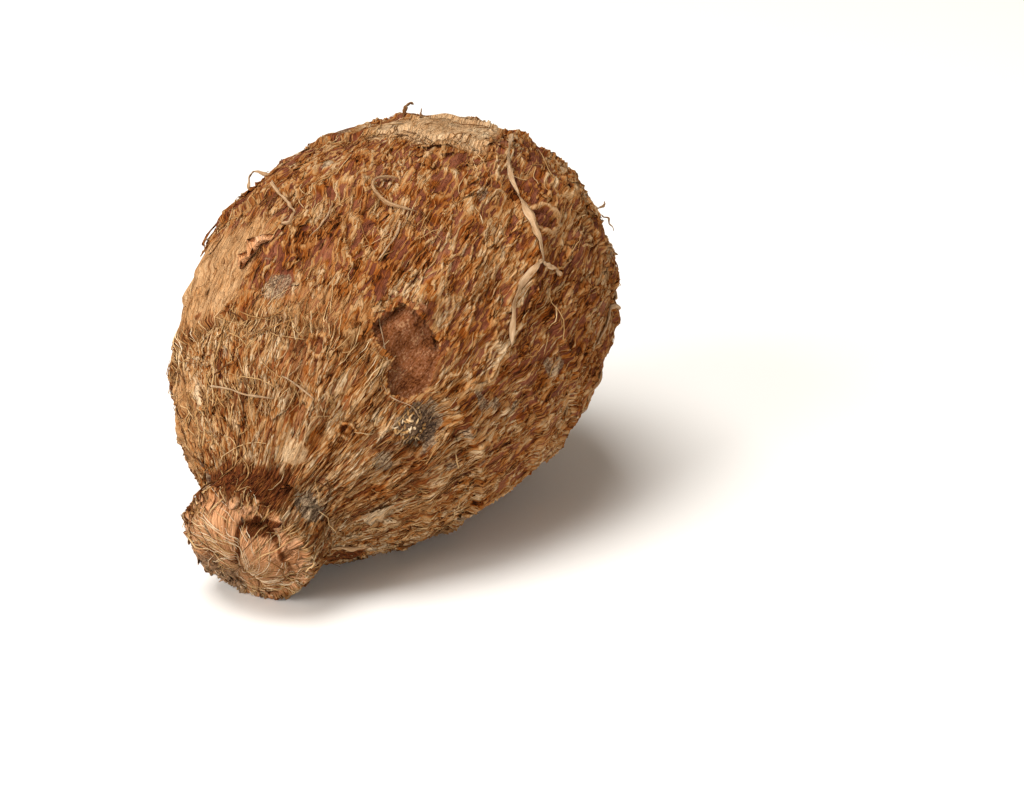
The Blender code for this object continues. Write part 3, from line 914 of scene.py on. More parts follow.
class Nodes:
    """A material's node tree, with one way to add to it."""

    def __init__(self, name: str) -> None:
        """Starts a material with its Principled shader alone.

        Args:
            name: The material's name.
        """
        self.material = bpy.data.materials.new(name)
        self.material.use_nodes = True
        self.tree = self.material.node_tree
        self.shader = self.tree.nodes["Principled BSDF"]

    def add(
        self, kind: str, settings: dict | None = None, links: dict | None = None,
        values: dict | None = None,
    ) -> bpy.types.Node:
        """Adds a node.

        Args:
            kind: The node's type name, without its ShaderNode start.
            settings: Its own properties.
            links: Input name or number to the output socket that feeds it.
            values: Input name or number to a constant.

        Returns:
            The node.
        """
        node = self.tree.nodes.new("ShaderNode" + kind)
        for title, value in (settings or {}).items():
            setattr(node, title, value)
        for title, value in (values or {}).items():
            node.inputs[title].default_value = value
        for title, socket in (links or {}).items():
            self.tree.links.new(socket, node.inputs[title])
        return node

    def number(self, name: str) -> Socket:
        """The value of a vertex attribute."""
        return self.add("Attribute", {"attribute_name": name}).outputs["Fac"]

    @cached_property
    def grain(self) -> Socket:
        """The grain coordinates, in millimetres."""
        return self.add("Attribute", {"attribute_name": "grain"}).outputs["Vector"]

    def noise_node(self, cell: Triple, detail: float, rough: float, at: Socket) -> bpy.types.Node:
        """A noise texture whose cells have sizes in millimetres.

        Args:
            cell: The sizes.
            detail: How many finer layers.
            rough: How strong they are.
            at: Coordinates in millimetres.

        Returns:
            The node.
        """
        scale = tuple(1 / size for size in cell)
        scaled = self.add("Mapping", links={"Vector": at}, values={"Scale": scale})
        return self.add(
            "TexNoise", links={"Vector": scaled.outputs["Vector"]},
            values={"Scale": 1.0, "Detail": detail, "Roughness": rough},
        )

    def noise(self, cell: Triple, detail: float, rough: float = 0.55, at: Socket | None = None) -> Socket:
        """Noise from nought to one, on the grain coordinates or on others given."""
        return self.noise_node(cell, detail, rough, at or self.grain).outputs["Fac"]

    def warped(self, cell: Triple, reach: Triple) -> Socket:
        """The grain coordinates pushed about by noise, up to half the reach each way.

        Args:
            cell: Sizes of the noise's cells in millimetres.
            reach: Full swings in millimetres.

        Returns:
            The new coordinates.
        """
        noise = self.noise_node(cell, 2.0, 0.5, self.grain).outputs["Color"]
        middle = self.add("VectorMath", {"operation": "SUBTRACT"}, {0: noise}, {1: (0.5, 0.5, 0.5)})
        push = self.add("VectorMath", {"operation": "MULTIPLY"}, {0: middle.outputs[0]}, {1: reach})
        moved = self.add("VectorMath", {"operation": "ADD"}, {0: self.grain, 1: push.outputs[0]})
        return moved.outputs[0]

    def off_middle(self, value: Socket) -> Socket:
        """How far a noise is from its middle."""
        return self.mathed("ABSOLUTE", self.mathed("SUBTRACT", value, 0.5))

    def mathed(
        self, operation: str, first: Socket | float, second: Socket | float = 0.0,
        third: Socket | float = 0.0,
    ) -> Socket:
        """A Math node on sockets or plain numbers.

        Args:
            operation: Its name in Blender.
            first: First input.
            second: Second input.
            third: Third input.

        Returns:
            The result.
        """
        node = self.add("Math", {"operation": operation})
        for slot, given in zip(node.inputs, (first, second, third)):
            if isinstance(given, bpy.types.NodeSocket):
                self.tree.links.new(given, slot)
            else:
                slot.default_value = given
        return node.outputs[0]

    def summed(self, start: float, parts: tuple[tuple[Socket, float], ...]) -> Socket:
        """A number plus a sum of sockets, each times its weight.

        Args:
            start: The number.
            parts: Sockets with their weights.

        Returns:
            The sum.
        """
        total: Socket | float = start
        for socket, weight in parts:
            total = self.mathed("MULTIPLY_ADD", socket, weight, total)
        return total

    def stepped(self, value: Socket, low: float, high: float) -> Socket:
        """Eases from nought to one between two levels of a value.

        Args:
            value: The value.
            low: Where the result is nought.
            high: Where it is one.

        Returns:
            The share.
        """
        node = self.add(
            "MapRange", {"interpolation_type": "SMOOTHSTEP"}, {"Value": value},
            {"From Min": low, "From Max": high},
        )
        return node.outputs["Result"]

    def ramp(self, value: Socket, stops: Stops) -> Socket:
        """A colour ramp with stops of place and hex colour.

        Args:
            value: Place on the ramp.
            stops: Places and hex colours.

        Returns:
            The colour.
        """
        node = self.add("ValToRGB", links={"Fac": value})
        elements = node.color_ramp.elements
        while len(elements) < len(stops):
            elements.new(0.5)
        for element, (place, code) in zip(elements, stops):
            element.position = place
            element.color = linear(code)
        return node.outputs["Color"]

    def mixed(self, share: Socket, first: Socket, second: Socket) -> Socket:
        """Mixes two colours."""
        node = self.add("Mix", {"data_type": "RGBA"}, {0: share, 6: first, 7: second})
        return node.outputs[2]

    def bumped(self, height: Socket, distance: float) -> None:
        """Feeds the shader's normal from a height whose full swing is a distance in metres."""
        node = self.add("Bump", links={"Height": height}, values={"Distance": distance, "Strength": 1.0})
        self.tree.links.new(node.outputs["Normal"], self.shader.inputs["Normal"])

    def finished(self, colour: Socket, roughness: float, specular: float) -> bpy.types.Material:
        """Links the colour, sets the gloss and gives the material.

        Args:
            colour: Base colour.
            roughness: Its roughness.
            specular: Its specular level.

        Returns:
            The material.
        """
        self.tree.links.new(colour, self.shader.inputs["Base Color"])
        self.shader.inputs["Roughness"].default_value = roughness
        self.shader.inputs["Specular IOR Level"].default_value = specular
        return self.material


@dataclass(frozen=True)
class CorkySkinFinish:
    """Dry cork bark: red-brown flats between crumbly tan cork and dark slits, with painted shade in
    the slits and along the cork's feet.

    Cork is dead, air-filled cell tissue, so the eye sees a dull surface with hardly any shine,
    paler where it is rubbed; the dark in its cracks and along the feet of its lines is painted
    shade. Cells are in millimetres across, across and along: cork lines stand 2 to 3 mm apart,
    and the real fibres of 0.1 mm are too fine for the picture, so the streaks are drawn at 0.4 mm.
    """

    warp_cell: Triple = (5.0, 5.0, 8.0)
    warp_reach: Triple = (2.0, 2.0, 3.0)
    line: Triple = (2.6, 2.6, 10.0)
    fine: Triple = (0.9, 0.9, 6.0)
    slit: Triple = (1.5, 1.5, 9.0)
    streak: Triple = (0.42, 0.42, 3.6)
    blotch: Triple = (10.0, 10.0, 16.0)
    fleck: Triple = (3.2, 3.2, 5.0)
    speck: Triple = (0.5, 0.5, 0.6)
    bump: float = 0.0011
    roughness: float = 0.85
    specular: float = 0.06
    cork_tones: Stops = (
        (0.05, "#2A1000"), (0.16, "#552606"), (0.26, "#76390D"), (0.36, "#8F521E"),
        (0.48, "#A06A3A"), (0.60, "#AE8253"), (0.74, "#BE9A72"), (0.90, "#D2B590"),
    )
    flat_tones: Stops = ((0.3, "#4E2618"), (0.5, "#743F2B"), (0.7, "#935F49"))
    pale_tones: Stops = (
        (0.28, "#844E22"), (0.44, "#AA7A4C"), (0.58, "#C1966A"), (0.75, "#D0B18A"),
    )
    neck_tones: Stops = (
        (0.28, "#9C5E34"), (0.44, "#CA8D5C"), (0.58, "#DDA478"), (0.75, "#E6BE9A"),
    )
    dark_tones: Stops = ((0.35, "#34170A"), (0.5, "#6B3418"), (0.68, "#98602F"))
    grey_tones: Stops = ((0.32, "#42342C"), (0.44, "#6A523E"), (0.54, "#84684F"), (0.68, "#B39878"))
    torn_tones: Stops = ((0.38, "#4C2510"), (0.46, "#7A4724"), (0.53, "#845237"), (0.62, "#AD8058"))

    def pattern(self, nodes: Nodes) -> dict[str, Socket]:
        """Adds the pattern's nodes.

        Lines and fine lines stand where their noise crosses its middle, each with a band of painted
        shade along its feet. Slits are thinner lines of another noise, kept where a mask is high,
        and more of them low on the corm; their darkness is painted shade in the cracks.

        Args:
            nodes: The material under work.

        Returns:
            Sockets by name.
        """
        grain = nodes.warped(self.warp_cell, self.warp_reach)
        far = nodes.off_middle(nodes.noise(self.line, 3.0, 0.55, grain))
        near = nodes.off_middle(nodes.noise(self.fine, 3.0, 0.55, grain))
        split = nodes.off_middle(nodes.noise(self.slit, 3.0, 0.6, grain))
        along = nodes.add("SeparateXYZ", links={"Vector": nodes.grain}).outputs["Z"]
        low_down = nodes.stepped(along, 76.0, 56.0)
        mask = nodes.stepped(nodes.noise((3.0, 3.0, 6.0), 1.0), 0.46, 0.54)
        kept = nodes.mathed("MULTIPLY", mask, nodes.mathed("MULTIPLY_ADD", low_down, 0.25, 0.75))
        return {
            "streak": nodes.noise(self.streak, 2.0, 0.6, grain),
            "blotch": nodes.noise(self.blotch, 3.0, 0.6),
            "fleck": nodes.noise(self.fleck, 2.0, 0.5, grain),
            "speck": nodes.noise(self.speck, 2.0, 0.6),
            "line": nodes.stepped(far, 0.052, 0.034),
            "fine": nodes.stepped(near, 0.05, 0.02),
            # Painted shade: a dark band along the feet of each cork line.
            "foot": nodes.mathed(
                "MULTIPLY", nodes.stepped(far, 0.042, 0.056), nodes.stepped(far, 0.105, 0.064),
            ),
            # Painted shade: the slits are darkened as shade in the cracks; the bump also sinks them.
            "slit": nodes.mathed("MULTIPLY", nodes.stepped(split, 0.034, 0.014), kept),
            "low_down": low_down,
            "raised": nodes.number("raised"),
        }

    def bark_tone(self, nodes: Nodes, found: dict[str, Socket]) -> Socket:
        """Colour of plain bark: tan on raised cork, red-brown on the flats, with painted shade along the
        cork lines' feet and in the slits, and painted light that makes the low end paler.

        Args:
            nodes: The material under work.
            found: The pattern's sockets.

        Returns:
            The colour.
        """
        level = nodes.summed(-0.465, (
            (found["blotch"], 0.66), (found["fleck"], 0.46), (found["streak"], 0.44),
            (found["raised"], 0.24), (found["line"], 0.12), (found["fine"], 0.06),
            # Painted shade: the cork lines' feet and the slits are darkened.
            (found["foot"], -0.11), (found["slit"], -0.33), (nodes.number("shade"), 1.0),
            # Painted light: the low end of the corm is made a little paler.
            (found["low_down"], 0.075),
        ))
        tone = nodes.ramp(level, self.cork_tones)
        high = nodes.mathed("MAXIMUM", found["line"], nodes.stepped(found["raised"], 0.05, 0.45))
        low = nodes.mathed("SUBTRACT", 1.0, high)
        share = nodes.mathed("MULTIPLY", low, nodes.stepped(found["fleck"], 0.36, 0.52))
        fade = nodes.mathed("MULTIPLY_ADD", found["low_down"], -0.45, 0.88)
        shaded = nodes.summed(0.0, ((found["streak"], 0.5), (found["blotch"], 0.5)))
        return nodes.mixed(nodes.mathed("MULTIPLY", share, fade), tone, nodes.ramp(shaded, self.flat_tones))

    def broken(self, nodes: Nodes, name: str, noise: Socket) -> Socket:
        """An attribute whose edge is broken up by noise."""
        return nodes.stepped(nodes.summed(-0.45, ((nodes.number(name), 1.0), (noise, 0.9))), 0.3, 0.7)

    def special_tones(self, nodes: Nodes, found: dict[str, Socket], tone: Socket) -> Socket:
        """Lays the pale, neck, dark, grey and torn kinds of skin over the plain bark.

        Args:
            nodes: The material under work.
            found: The pattern's sockets.
            tone: Colour of plain bark.

        Returns:
            The colour of all skin.
        """
        streak, speck, fleck = found["streak"], found["speck"], found["fleck"]
        soft = nodes.summed(0.0, (
            # The slits' painted shade also darkens the pale and neck tones a little.
            (found["blotch"], 0.35), (streak, 0.45), (fleck, 0.2), (found["slit"], -0.16),
            (found["raised"], 0.05), (nodes.number("shade"), 0.5),
        ))
        rubbed = nodes.summed(-0.34, ((soft, 1.0), (nodes.number("pale"), 0.48)))
        rough = nodes.summed(0.0, ((speck, 0.5), (fleck, 0.4), (streak, 0.1)))
        # Grey weathered skin, with painted shade: darker down the pits through raised, and where the dark
        # mark lies.
        weathered_and_shaded = nodes.summed(0.02, (
            (speck, 1.0), (found["raised"], 0.2), (nodes.number("dark"), -0.14),
        ))
        kinds = (
            ("pale", rubbed, self.pale_tones), ("neck", soft, self.neck_tones),
            ("dark", streak, self.dark_tones), ("grey", weathered_and_shaded, self.grey_tones),
        )
        for name, level, stops in kinds:
            tone = nodes.mixed(self.broken(nodes, name, streak), tone, nodes.ramp(level, stops))
        return nodes.mixed(nodes.number("torn"), tone, nodes.ramp(rough, self.torn_tones))

    def relief(self, nodes: Nodes, found: dict[str, Socket]) -> Socket:
        """Height of the pattern for the bump, calmer on the torn patch and the neck.

        Args:
            nodes: The material under work.
            found: The pattern's sockets.

        Returns:
            The height.
        """
        height = nodes.summed(0.0, (
            (found["line"], 0.42), (found["streak"], 0.24), (found["fine"], 0.2),
            (found["slit"], -0.55),
        ))
        calm = nodes.summed(1.0, ((nodes.number("torn"), -0.55), (nodes.number("neck"), -0.3)))
        grit = nodes.mathed("MULTIPLY", found["speck"], 0.14)
        return nodes.mathed("MULTIPLY_ADD", height, calm, grit)

    def material(self) -> bpy.types.Material:
        """Builds the material, from plain bark to each special kind of skin.

        Returns:
            The material.
        """
        nodes = Nodes("corky_skin_dry")
        found = self.pattern(nodes)
        tone = self.special_tones(nodes, found, self.bark_tone(nodes, found))
        nodes.bumped(self.relief(nodes, found), self.bump)
        return nodes.finished(tone, self.roughness, self.specular)


@dataclass(frozen=True)
class FibreFinish:
    """Dry plant fibre, split off the bark: pale straw to brown, each a little different.

    Its smooth outer wall gives the eye a faint sheen, a little more than cork has.
    """

    knots: Triple = (1.0, 1.0, 1.6)
    stops: Stops = (
        (0.10, "#4E2A12"), (0.35, "#80532A"), (0.60, "#AC8250"), (0.90, "#CFAC7C"), (1.00, "#DCC3A0"),
    )

    def material(self) -> bpy.types.Material:
        """Builds the fibres' material.

        Returns:
            The material.
        """
        nodes = Nodes("dry_fibre")
        knots = nodes.noise(self.knots, 2.0)
        level = nodes.summed(-0.12, ((knots, 0.5), (nodes.number("shade"), 0.75)))
        return nodes.finished(nodes.ramp(level, self.stops), 0.7, 0.12)


@dataclass(frozen=True)
class RootletFinish:
    """Dried rootlet, shrunk to a stringy ribbon: pale grey-tan, with brown scurf left on it.

    Its strings of 1.3 mm run lengthwise, so the eye sees long faint streaks and no shine.
    """

    string: Triple = (1.3, 1.3, 5.0)
    scurf: Triple = (2.0, 2.0, 1.6)
    stops: Stops = (
        (0.28, "#6E4826"), (0.42, "#A27C56"), (0.56, "#BE9C78"), (0.75, "#D2B694"),
    )

    def material(self) -> bpy.types.Material:
        """Builds the rootlets' material.

        Returns:
            The material.
        """
        nodes = Nodes("dried_rootlet")
        string = nodes.noise(self.string, 3.0, 0.6)
        scurf = nodes.noise(self.scurf, 3.0, 0.6)
        level = nodes.summed(-0.02, ((string, 0.6), (scurf, 0.4), (nodes.number("shade"), 0.3)))
        nodes.bumped(string, 0.0006)
        return nodes.finished(nodes.ramp(level, self.stops), 0.75, 0.12)


@dataclass
class SkinPiece:
    """A piece on the skin, with its finish."""

    material: bpy.types.Material


@dataclass
class Bark(SkinPiece):
    """The skin itself, one closed surface."""

    rows: int = 224
    columns: int = 444
    crowding: float = 1.08
    facing_degrees: float = 78.0
    facing_share: float = 0.38

    def grid(self) -> tuple[Array, Array, Array]:
        """Places the rows and columns on the skin.

        The columns crowd towards the side that faces the camera: turn = even + share x
        sin(facing - even), so that their spacing there is 1 - share of the even one.

        Returns:
            Skin distances, turns, and each row's share of the way to the crown.
        """
        share, even = np.meshgrid(
            np.arange(1, self.rows + 1) / (self.rows + 1),
            np.arange(self.columns) / self.columns * 2 * np.pi - np.pi / 2,
            indexing="ij",
        )
        turn = even + self.facing_share * np.sin(np.radians(self.facing_degrees) - even)
        even_skin = SEEN_FORM.skin_length * share ** self.crowding
        return SEEN_FORM.gathered(even_skin, turn), turn, share

    def faces(self) -> tuple[Array, Array]:
        """Joins the grid by quads, with a fan of triangles round each pole.

        Returns:
            Vertex numbers of all faces in a row, and how many corners each face has.
        """
        index = np.arange(self.rows * self.columns).reshape(self.rows, self.columns)
        right = np.roll(index, -1, axis=1)
        quads = np.stack([index[:-1], index[1:], right[1:], right[:-1]], axis=-1)
        tip, crown = index.size, index.size + 1
        first = np.stack([np.full(self.columns, tip), index[0], right[0]], axis=-1)
        last = np.stack([np.full(self.columns, crown), right[-1], index[-1]], axis=-1)
        loops = np.concatenate([quads.ravel(), first.ravel(), last.ravel()])
        sizes = [np.full((self.rows - 1) * self.columns, 4), np.full(2 * self.columns, 3)]
        return loops, np.concatenate(sizes)

    def unrolled(self, share: Array) -> Array:
        """Map coordinates: the turn runs across and the row runs up, with the seam under the corm.

        Args:
            share: Each row's share of the way to the crown, by row and column.

        Returns:
            Coordinates of every face corner, in the order of the faces.
        """
        column = np.arange(self.columns) / self.columns
        left = np.broadcast_to(column, share.shape)
        right = left + 1 / self.columns
        middle = column + 0.5 / self.columns
        low, high = share[:-1], share[1:]
        corners = ((left[:-1], low), (left[1:], high), (right[1:], high), (right[:-1], low))
        tip = ((middle, np.zeros_like(column)), (left[0], share[0]), (right[0], share[0]))
        crown = ((middle, np.ones_like(column)), (right[0], share[-1]), (left[0], share[-1]))
        return np.concatenate([
            np.stack([np.stack(pair, axis=-1) for pair in group], axis=-2).reshape(-1, 2)
            for group in (corners, tip, crown)
        ])

    def build(self) -> bpy.types.Object:
        """Carries the grid to the finished skin and closes both poles.

        Returns:
            The skin's object.
        """
        skin, turn, share = self.grid()
        at = Places(
            np.concatenate([skin.ravel(), [0.0, SEEN_FORM.skin_length]]),
            np.concatenate([turn.ravel(), [0.0, 0.0]]),
        )
        numbers = {"raised": at.cork, "grain": at.grain, **at.marks}
        uv = self.unrolled(share)
        made = build_object("corm_skin", at.point(), *self.faces(), uv, numbers, self.material)
        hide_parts("corm")
        return made


@dataclass
class Strips:
    """Strips that lie on the skin: one number of each kind per strip."""

    place: Array
    turn: Array
    heading: Array
    length: Array
    bend: Array
    sway: Array

    def rings(
        self, width: Array, height: Array, corners: Array, share: Array, lift: Array,
    ) -> tuple[Array, Places]:
        """Carries a section along each strip's path over the skin.

        The path leaves its middle at the heading, whose angle from the corm's length grows by
        bend over the strip, and a sine of the strip's own phase sways it to both sides. Each
        corner of the section is set sideways on the skin and raised.

        Args:
            width: Half widths, by strip and ring.
            height: Heights, by strip and ring.
            corners: Sideways and upward shares, by strip, ring and corner.
            share: Places of the rings along the strip, from minus a half to a half.
            lift: Extra heights, by strip and ring.

        Returns:
            The points and their places on the skin, by strip, ring and corner.
        """
        run = self.length[:, None] * share
        angle = self.heading[:, None] + self.bend[:, None] * share
        middle = self.heading[:, None] + 0.5 * self.bend[:, None] * share
        skin = self.place[:, None] + run * np.cos(middle)
        arm = FORM.arm(skin)
        turn = self.turn[:, None] + run * np.sin(middle) / arm
        phase = self.place[:, None] * 7919 + 2 * np.pi * run / SWAY_WAVE
        drift = self.sway[:, None] * (np.sin(phase) + 0.5 * np.sin(2.3 * phase + self.turn[:, None]))
        side = width[..., None] * corners[..., 0] + drift[..., None]
        up = height[..., None] * corners[..., 1] + lift[..., None]
        skin_at = skin[..., None] - side * np.sin(angle)[..., None]
        skin_at = np.clip(skin_at, POLE_GAP, FORM.skin_length - POLE_GAP)
        turn_at = turn[..., None] + side * np.cos(angle)[..., None] / arm[..., None]
        at = Places(skin_at, turn_at)
        return at.point(up), at


Cover = Callable[[Places], Array]


def scattered(
    count: int, cover: Cover, seed: int, reach: Range = WHOLE_SKIN,
) -> tuple[Places, int, np.random.Generator]:
    """Draws places evenly over the skin and keeps each by the chance that a cover gives it.

    Args:
        count: How many to keep.
        cover: Function of places that gives a chance from nought to one.
        seed: Seed of the draw.
        reach: Least and greatest skin distance.

    Returns:
        The places, how many they are, and the generator for the draws that follow.
    """
    draw = np.random.default_rng(seed)
    tries = count * TRIES_TO_A_PLACE
    tried = Places(draw.uniform(*reach, tries), draw.uniform(-np.pi / 2, 1.5 * np.pi, tries))
    chance = cover(tried) * FORM.arm(tried.skin) / FORM.half_height
    kept = tried[np.flatnonzero(draw.random(tries) < chance)[:count]]
    LOG.info("kept %d of %d wanted places", len(kept.skin), count)
    return kept, len(kept.skin), draw


def sheet(values: Array, rings: int) -> Array:
    """One number per strip, spread so that it fits arrays by strip, ring and corner."""
    return np.broadcast_to(values[:, None, None], (len(values), rings, 1))


class RidgeGrade(Enum):
    """The two grades of cork ridge, named as their objects are."""

    BOLD = "bold_cork_ridges"
    FINE = "fine_cork_ridges"


@dataclass(frozen=True)
class RidgeSpec:
    """Counts, sizes in metres and chances of one grade of ridge."""

    count: int
    seed: int
    stations: int
    length: Range
    half_width: Range
    height: Range
    spread: float
    sway: float
    section: Pairs
    chance: float
    on_right: float
    on_shaggy: float
    on_far_side: float


RIDGES_BY_GRADE = {
    RidgeGrade.BOLD: RidgeSpec(
        1400, 101, 12, (0.005, 0.015), (0.0003, 0.00064), (0.00045, 0.0008), 0.13, 0.00028,
        ((-1.0, -1.2), (-0.72, 0.75), (0.0, 1.0), (0.72, 0.65), (1.0, -1.2)),
        0.24, 0.6, 0.22, 0.35,
    ),
    RidgeGrade.FINE: RidgeSpec(
        1500, 102, 9, (0.004, 0.012), (0.00014, 0.00028), (0.00025, 0.0005), 0.16, 0.0002,
        ((-1.0, -1.2), (-0.5, 0.95), (0.5, 1.0), (1.0, -1.2)),
        0.18, 0.15, 0.62, 0.2,
    ),
}


@dataclass
class CorkRidges(SkinPiece):
    """Lengthwise ridges of cork that stand on the skin, each a low swaying strip with sunk ends."""

    grade: RidgeGrade
    ragged: float = 0.35
    jitter: float = 0.12
    bend: float = 0.35
    shade_swing: float = 0.07
    sunk_middle: float = 0.00012
    sunk_ends: float = 0.00025

    @property
    def spec(self) -> RidgeSpec:
        """Sizes of this grade."""
        return RIDGES_BY_GRADE[self.grade]

    def cover(self, at: Places) -> Array:
        """Chance of a ridge: more on the right, the shaggy end and the far side, in clumps.

        Args:
            at: Places on the skin.

        Returns:
            Chances from nought to one.
        """
        spec = self.spec
        away = at.around(150, 300, 30) * (1 - at.flank)
        chance = spec.chance + spec.on_right * at.zone(RIDGED_RIGHT) + spec.on_shaggy * at.shaggy
        chance = (chance + spec.on_far_side * away) * (1 - 0.93 * at.flank) * (1 - 0.97 * at.neck)
        clump = smooth_step((at.noise(5, 9, spec.seed) - 0.38) / 0.2)
        return chance * (0.25 + 0.75 * clump) * (1 - at.bare)

    def build(self) -> bpy.types.Object:
        """Scatters the ridges and lofts them.

        Returns:
            The ridges as one object.
        """
        spec = self.spec
        middle, total, draw = scattered(spec.count, self.cover, spec.seed)
        strips = Strips(
            middle.skin, middle.turn, middle.flow + draw.normal(0, spec.spread, total),
            draw.uniform(*spec.length, total) * (0.8 + 0.3 * middle.shaggy),
            draw.normal(0, self.bend, total), spec.sway * draw.uniform(0.4, 1.3, total),
        )
        share = np.linspace(-0.5, 0.5, spec.stations)
        taper = np.clip(1 - (2 * share) ** 2, 0.02, 1) ** 0.7
        shape = (total, spec.stations)
        rough = draw.uniform(1 - self.ragged, 1 + self.ragged, (2, *shape))
        width = draw.uniform(*spec.half_width, total)[:, None] * np.sqrt(taper) * rough[0]
        height = draw.uniform(*spec.height, total)[:, None] * taper * rough[1]
        section = np.array(spec.section)
        standing = section[:, 1] > 0
        moved = draw.normal(0, self.jitter, (*shape, len(section), 2)) * standing[:, None]
        sunk = np.broadcast_to(-self.sunk_middle - self.sunk_ends * (1 - taper), shape)
        points, at = strips.rings(width, height, section + moved, share, sunk)
        shade = draw.uniform(-self.shade_swing, self.shade_swing, total)
        # Raised runs from tan at the crest down to -0.6 at the sunk corners, so the ridge's feet are
        # darker: painted shade.
        numbers = {
            "raised": np.where(standing, section[:, 1], -0.6) * taper[None, :, None],
            "shade": sheet(shade, spec.stations), "grain": at.grain, **at[..., :1].marks,
        }
        return loft_object(self.grade.value, points, numbers, self.material)


@dataclass(frozen=True)
class Growth:
    """One kind of fibre or flake: how many, where, which way, how long, how far off, how wide.

    Headings are radians from the corm's length, lengths and half widths metres; follow says how
    far it keeps to its neighbours' heading.
    """

    count: int
    cover: Cover
    heading: float
    spread: float
    length: Range
    lift: Range
    half: Range
    bend: float = 0.4
    follow: float = 1.0
    reach: Range = WHOLE_SKIN
    tint: float = 0.0


@dataclass(frozen=True)
class BelowScar:
    """Cover of the strip just short of a leaf scar, mostly between two turns in degrees."""

    scar: int
    low: float
    high: float
    depth: float = 0.0055
    overlap: float = 0.001

    def __call__(self, at: Places) -> Array:
        """Chance of a hair or flake.

        Args:
            at: Places on the skin.

        Returns:
            Chances from nought to one.
        """
        past = SEEN_FORM.past_scar(at.skin, at.turn, *SEEN_SCARS[self.scar][:3])
        near = ((past > -self.depth) & (past < self.overlap)).astype(float)
        return near * (0.25 + 0.75 * at.around(self.low, self.high, 20)) * (1 - at.torn)


@dataclass
class Fibres(SkinPiece):
    """Dry hairs: fringes that hang from the leaf scars, the neck's combed hair and loose fuzz."""

    stations: int = 7
    seed: int = 211
    arch: float = 0.0002
    thin: Range = (0.00006, 0.00012)
    section: Pairs = ((-1.0, -0.5), (0.0, 1.0), (1.0, -0.5))

    def fuzz(self, at: Places) -> Array:
        """Chance of loose fuzz: clumps, thickest near the neck and thin on the smooth flank."""
        clump = 0.3 + 0.7 * smooth_step((at.noise(9, 9, 61) - 0.4) / 0.2)
        return (0.15 + 0.85 * at.shaggy) * clump * (1 - np.maximum(at.torn, 0.6 * at.flank))

    def combed(self, at: Places) -> Array:
        """Chance of combed hair: on the neck, away from its folds and grey end."""
        return at.neck * (1 - at.dark) * (1 - at.grey)

    def crumbs(self, at: Places) -> Array:
        """Chance of a crumb: on the bud scar's upper edge."""
        return at.patch(0.0538, 33.5, 0.004)

    def fringes(self) -> list[Growth]:
        """Lists the fringes at the leaf scars, the last of them on the neck's lip.

        Returns:
            The groups.
        """
        thin, back, fringed = self.thin, np.pi, (0.052, 0.072)
        short, low, raised = (0.003, 0.007), (0.0001, 0.0008), (0.0001, 0.0009)
        return [
            Growth(
                230, BelowScar(2, 60, 165), back, 0.34, (0.003, 0.01), raised, thin,
                reach=fringed, tint=0.12,
            ),
            Growth(
                34, BelowScar(2, 85, 165), back / 2, 0.3, (0.006, 0.014), (0.0003, 0.0012),
                (0.00008, 0.00014), 0.8, reach=fringed,
            ),
            Growth(
                130, BelowScar(4, 60, 150), back, 0.45, (0.003, 0.008), raised, thin,
                reach=(0.088, 0.108),
            ),
            Growth(160, BelowScar(5, 60, 140), back, 0.55, short, low, thin, reach=(0.116, 0.134)),
            Growth(160, BelowScar(1, 60, 150), back, 0.4, short, low, thin, reach=(0.04, 0.053)),
            Growth(
                140, BelowScar(0, 30, 175, 0.003), back, 0.5, (0.002, 0.005), (0.0002, 0.001),
                thin, reach=(0.008, 0.024),
            ),
        ]

    def groups(self) -> list[Growth]:
        """Lists all kinds of fibre: fringes, combed hair, short and long fuzz, and crumbs.

        Returns:
            The groups, in the order of their seeds.
        """
        flat, long_hair = (0.0, 0.0002), (0.00009, 0.00015)
        return [
            *self.fringes(),
            Growth(
                200, self.combed, 0.95, 0.06, (0.004, 0.009), flat, (0.00004, 0.00008), 0.5, 0.3,
                (0.001, 0.019), 0.55,
            ),
            Growth(700, self.fuzz, 0.0, 0.3, (0.003, 0.01), (0.0, 0.0004), self.thin),
            Growth(110, self.fuzz, 0.9, 1.2, (0.008, 0.018), (0.0002, 0.0012), long_hair, 0.6),
            Growth(
                190, self.crumbs, 0.2, 0.9, (0.0006, 0.0016), flat, (0.00014, 0.00036),
                reach=(0.05, 0.06), tint=0.34,
            ),
        ]

    def grown(self, group: Growth, seed: int) -> tuple[Array, Array, Array]:
        """Draws one group: each fibre thins towards its tip and rises there by a power curve.

        Args:
            group: What to draw.
            seed: Seed of the draw.

        Returns:
            Points, grain coordinates and shades, by fibre, ring and corner.
        """
        middle, total, draw = scattered(group.count, group.cover, seed, group.reach)
        heading = draw.normal(group.heading, group.spread, total)
        strips = Strips(
            middle.skin, middle.turn, group.follow * middle.flow + heading,
            draw.uniform(*group.length, total), draw.normal(0, group.bend, total),
            draw.uniform(0.00005, 0.0003, total),
        )
        share = np.linspace(-0.5, 0.5, self.stations)
        slim = 1.15 - 1.1 * np.abs(share + 0.1) ** 1.5
        radius = draw.uniform(*group.half, total)[:, None] * slim
        lift = draw.uniform(*group.lift, total)[:, None] * np.clip(share + 0.5, 0, 1) ** 1.6
        lift = lift + self.arch * np.sin(np.pi * (share + 0.5)) + radius * 0.5
        corners = np.broadcast_to(self.section, (total, self.stations, len(self.section), 2))
        points, at = strips.rings(radius, radius, corners, share, lift)
        return points, at.grain, sheet(draw.random(total) + group.tint, self.stations)

    def build(self) -> bpy.types.Object:
        """Draws every group and lofts all fibres as one object.

        Returns:
            The fibres.
        """
        grown = [self.grown(group, self.seed + at) for at, group in enumerate(self.groups())]
        points, grain, shade = (np.concatenate(rows) for rows in zip(*grown))
        return loft_object("dry_fibres", points, {"shade": shade, "grain": grain}, self.material)


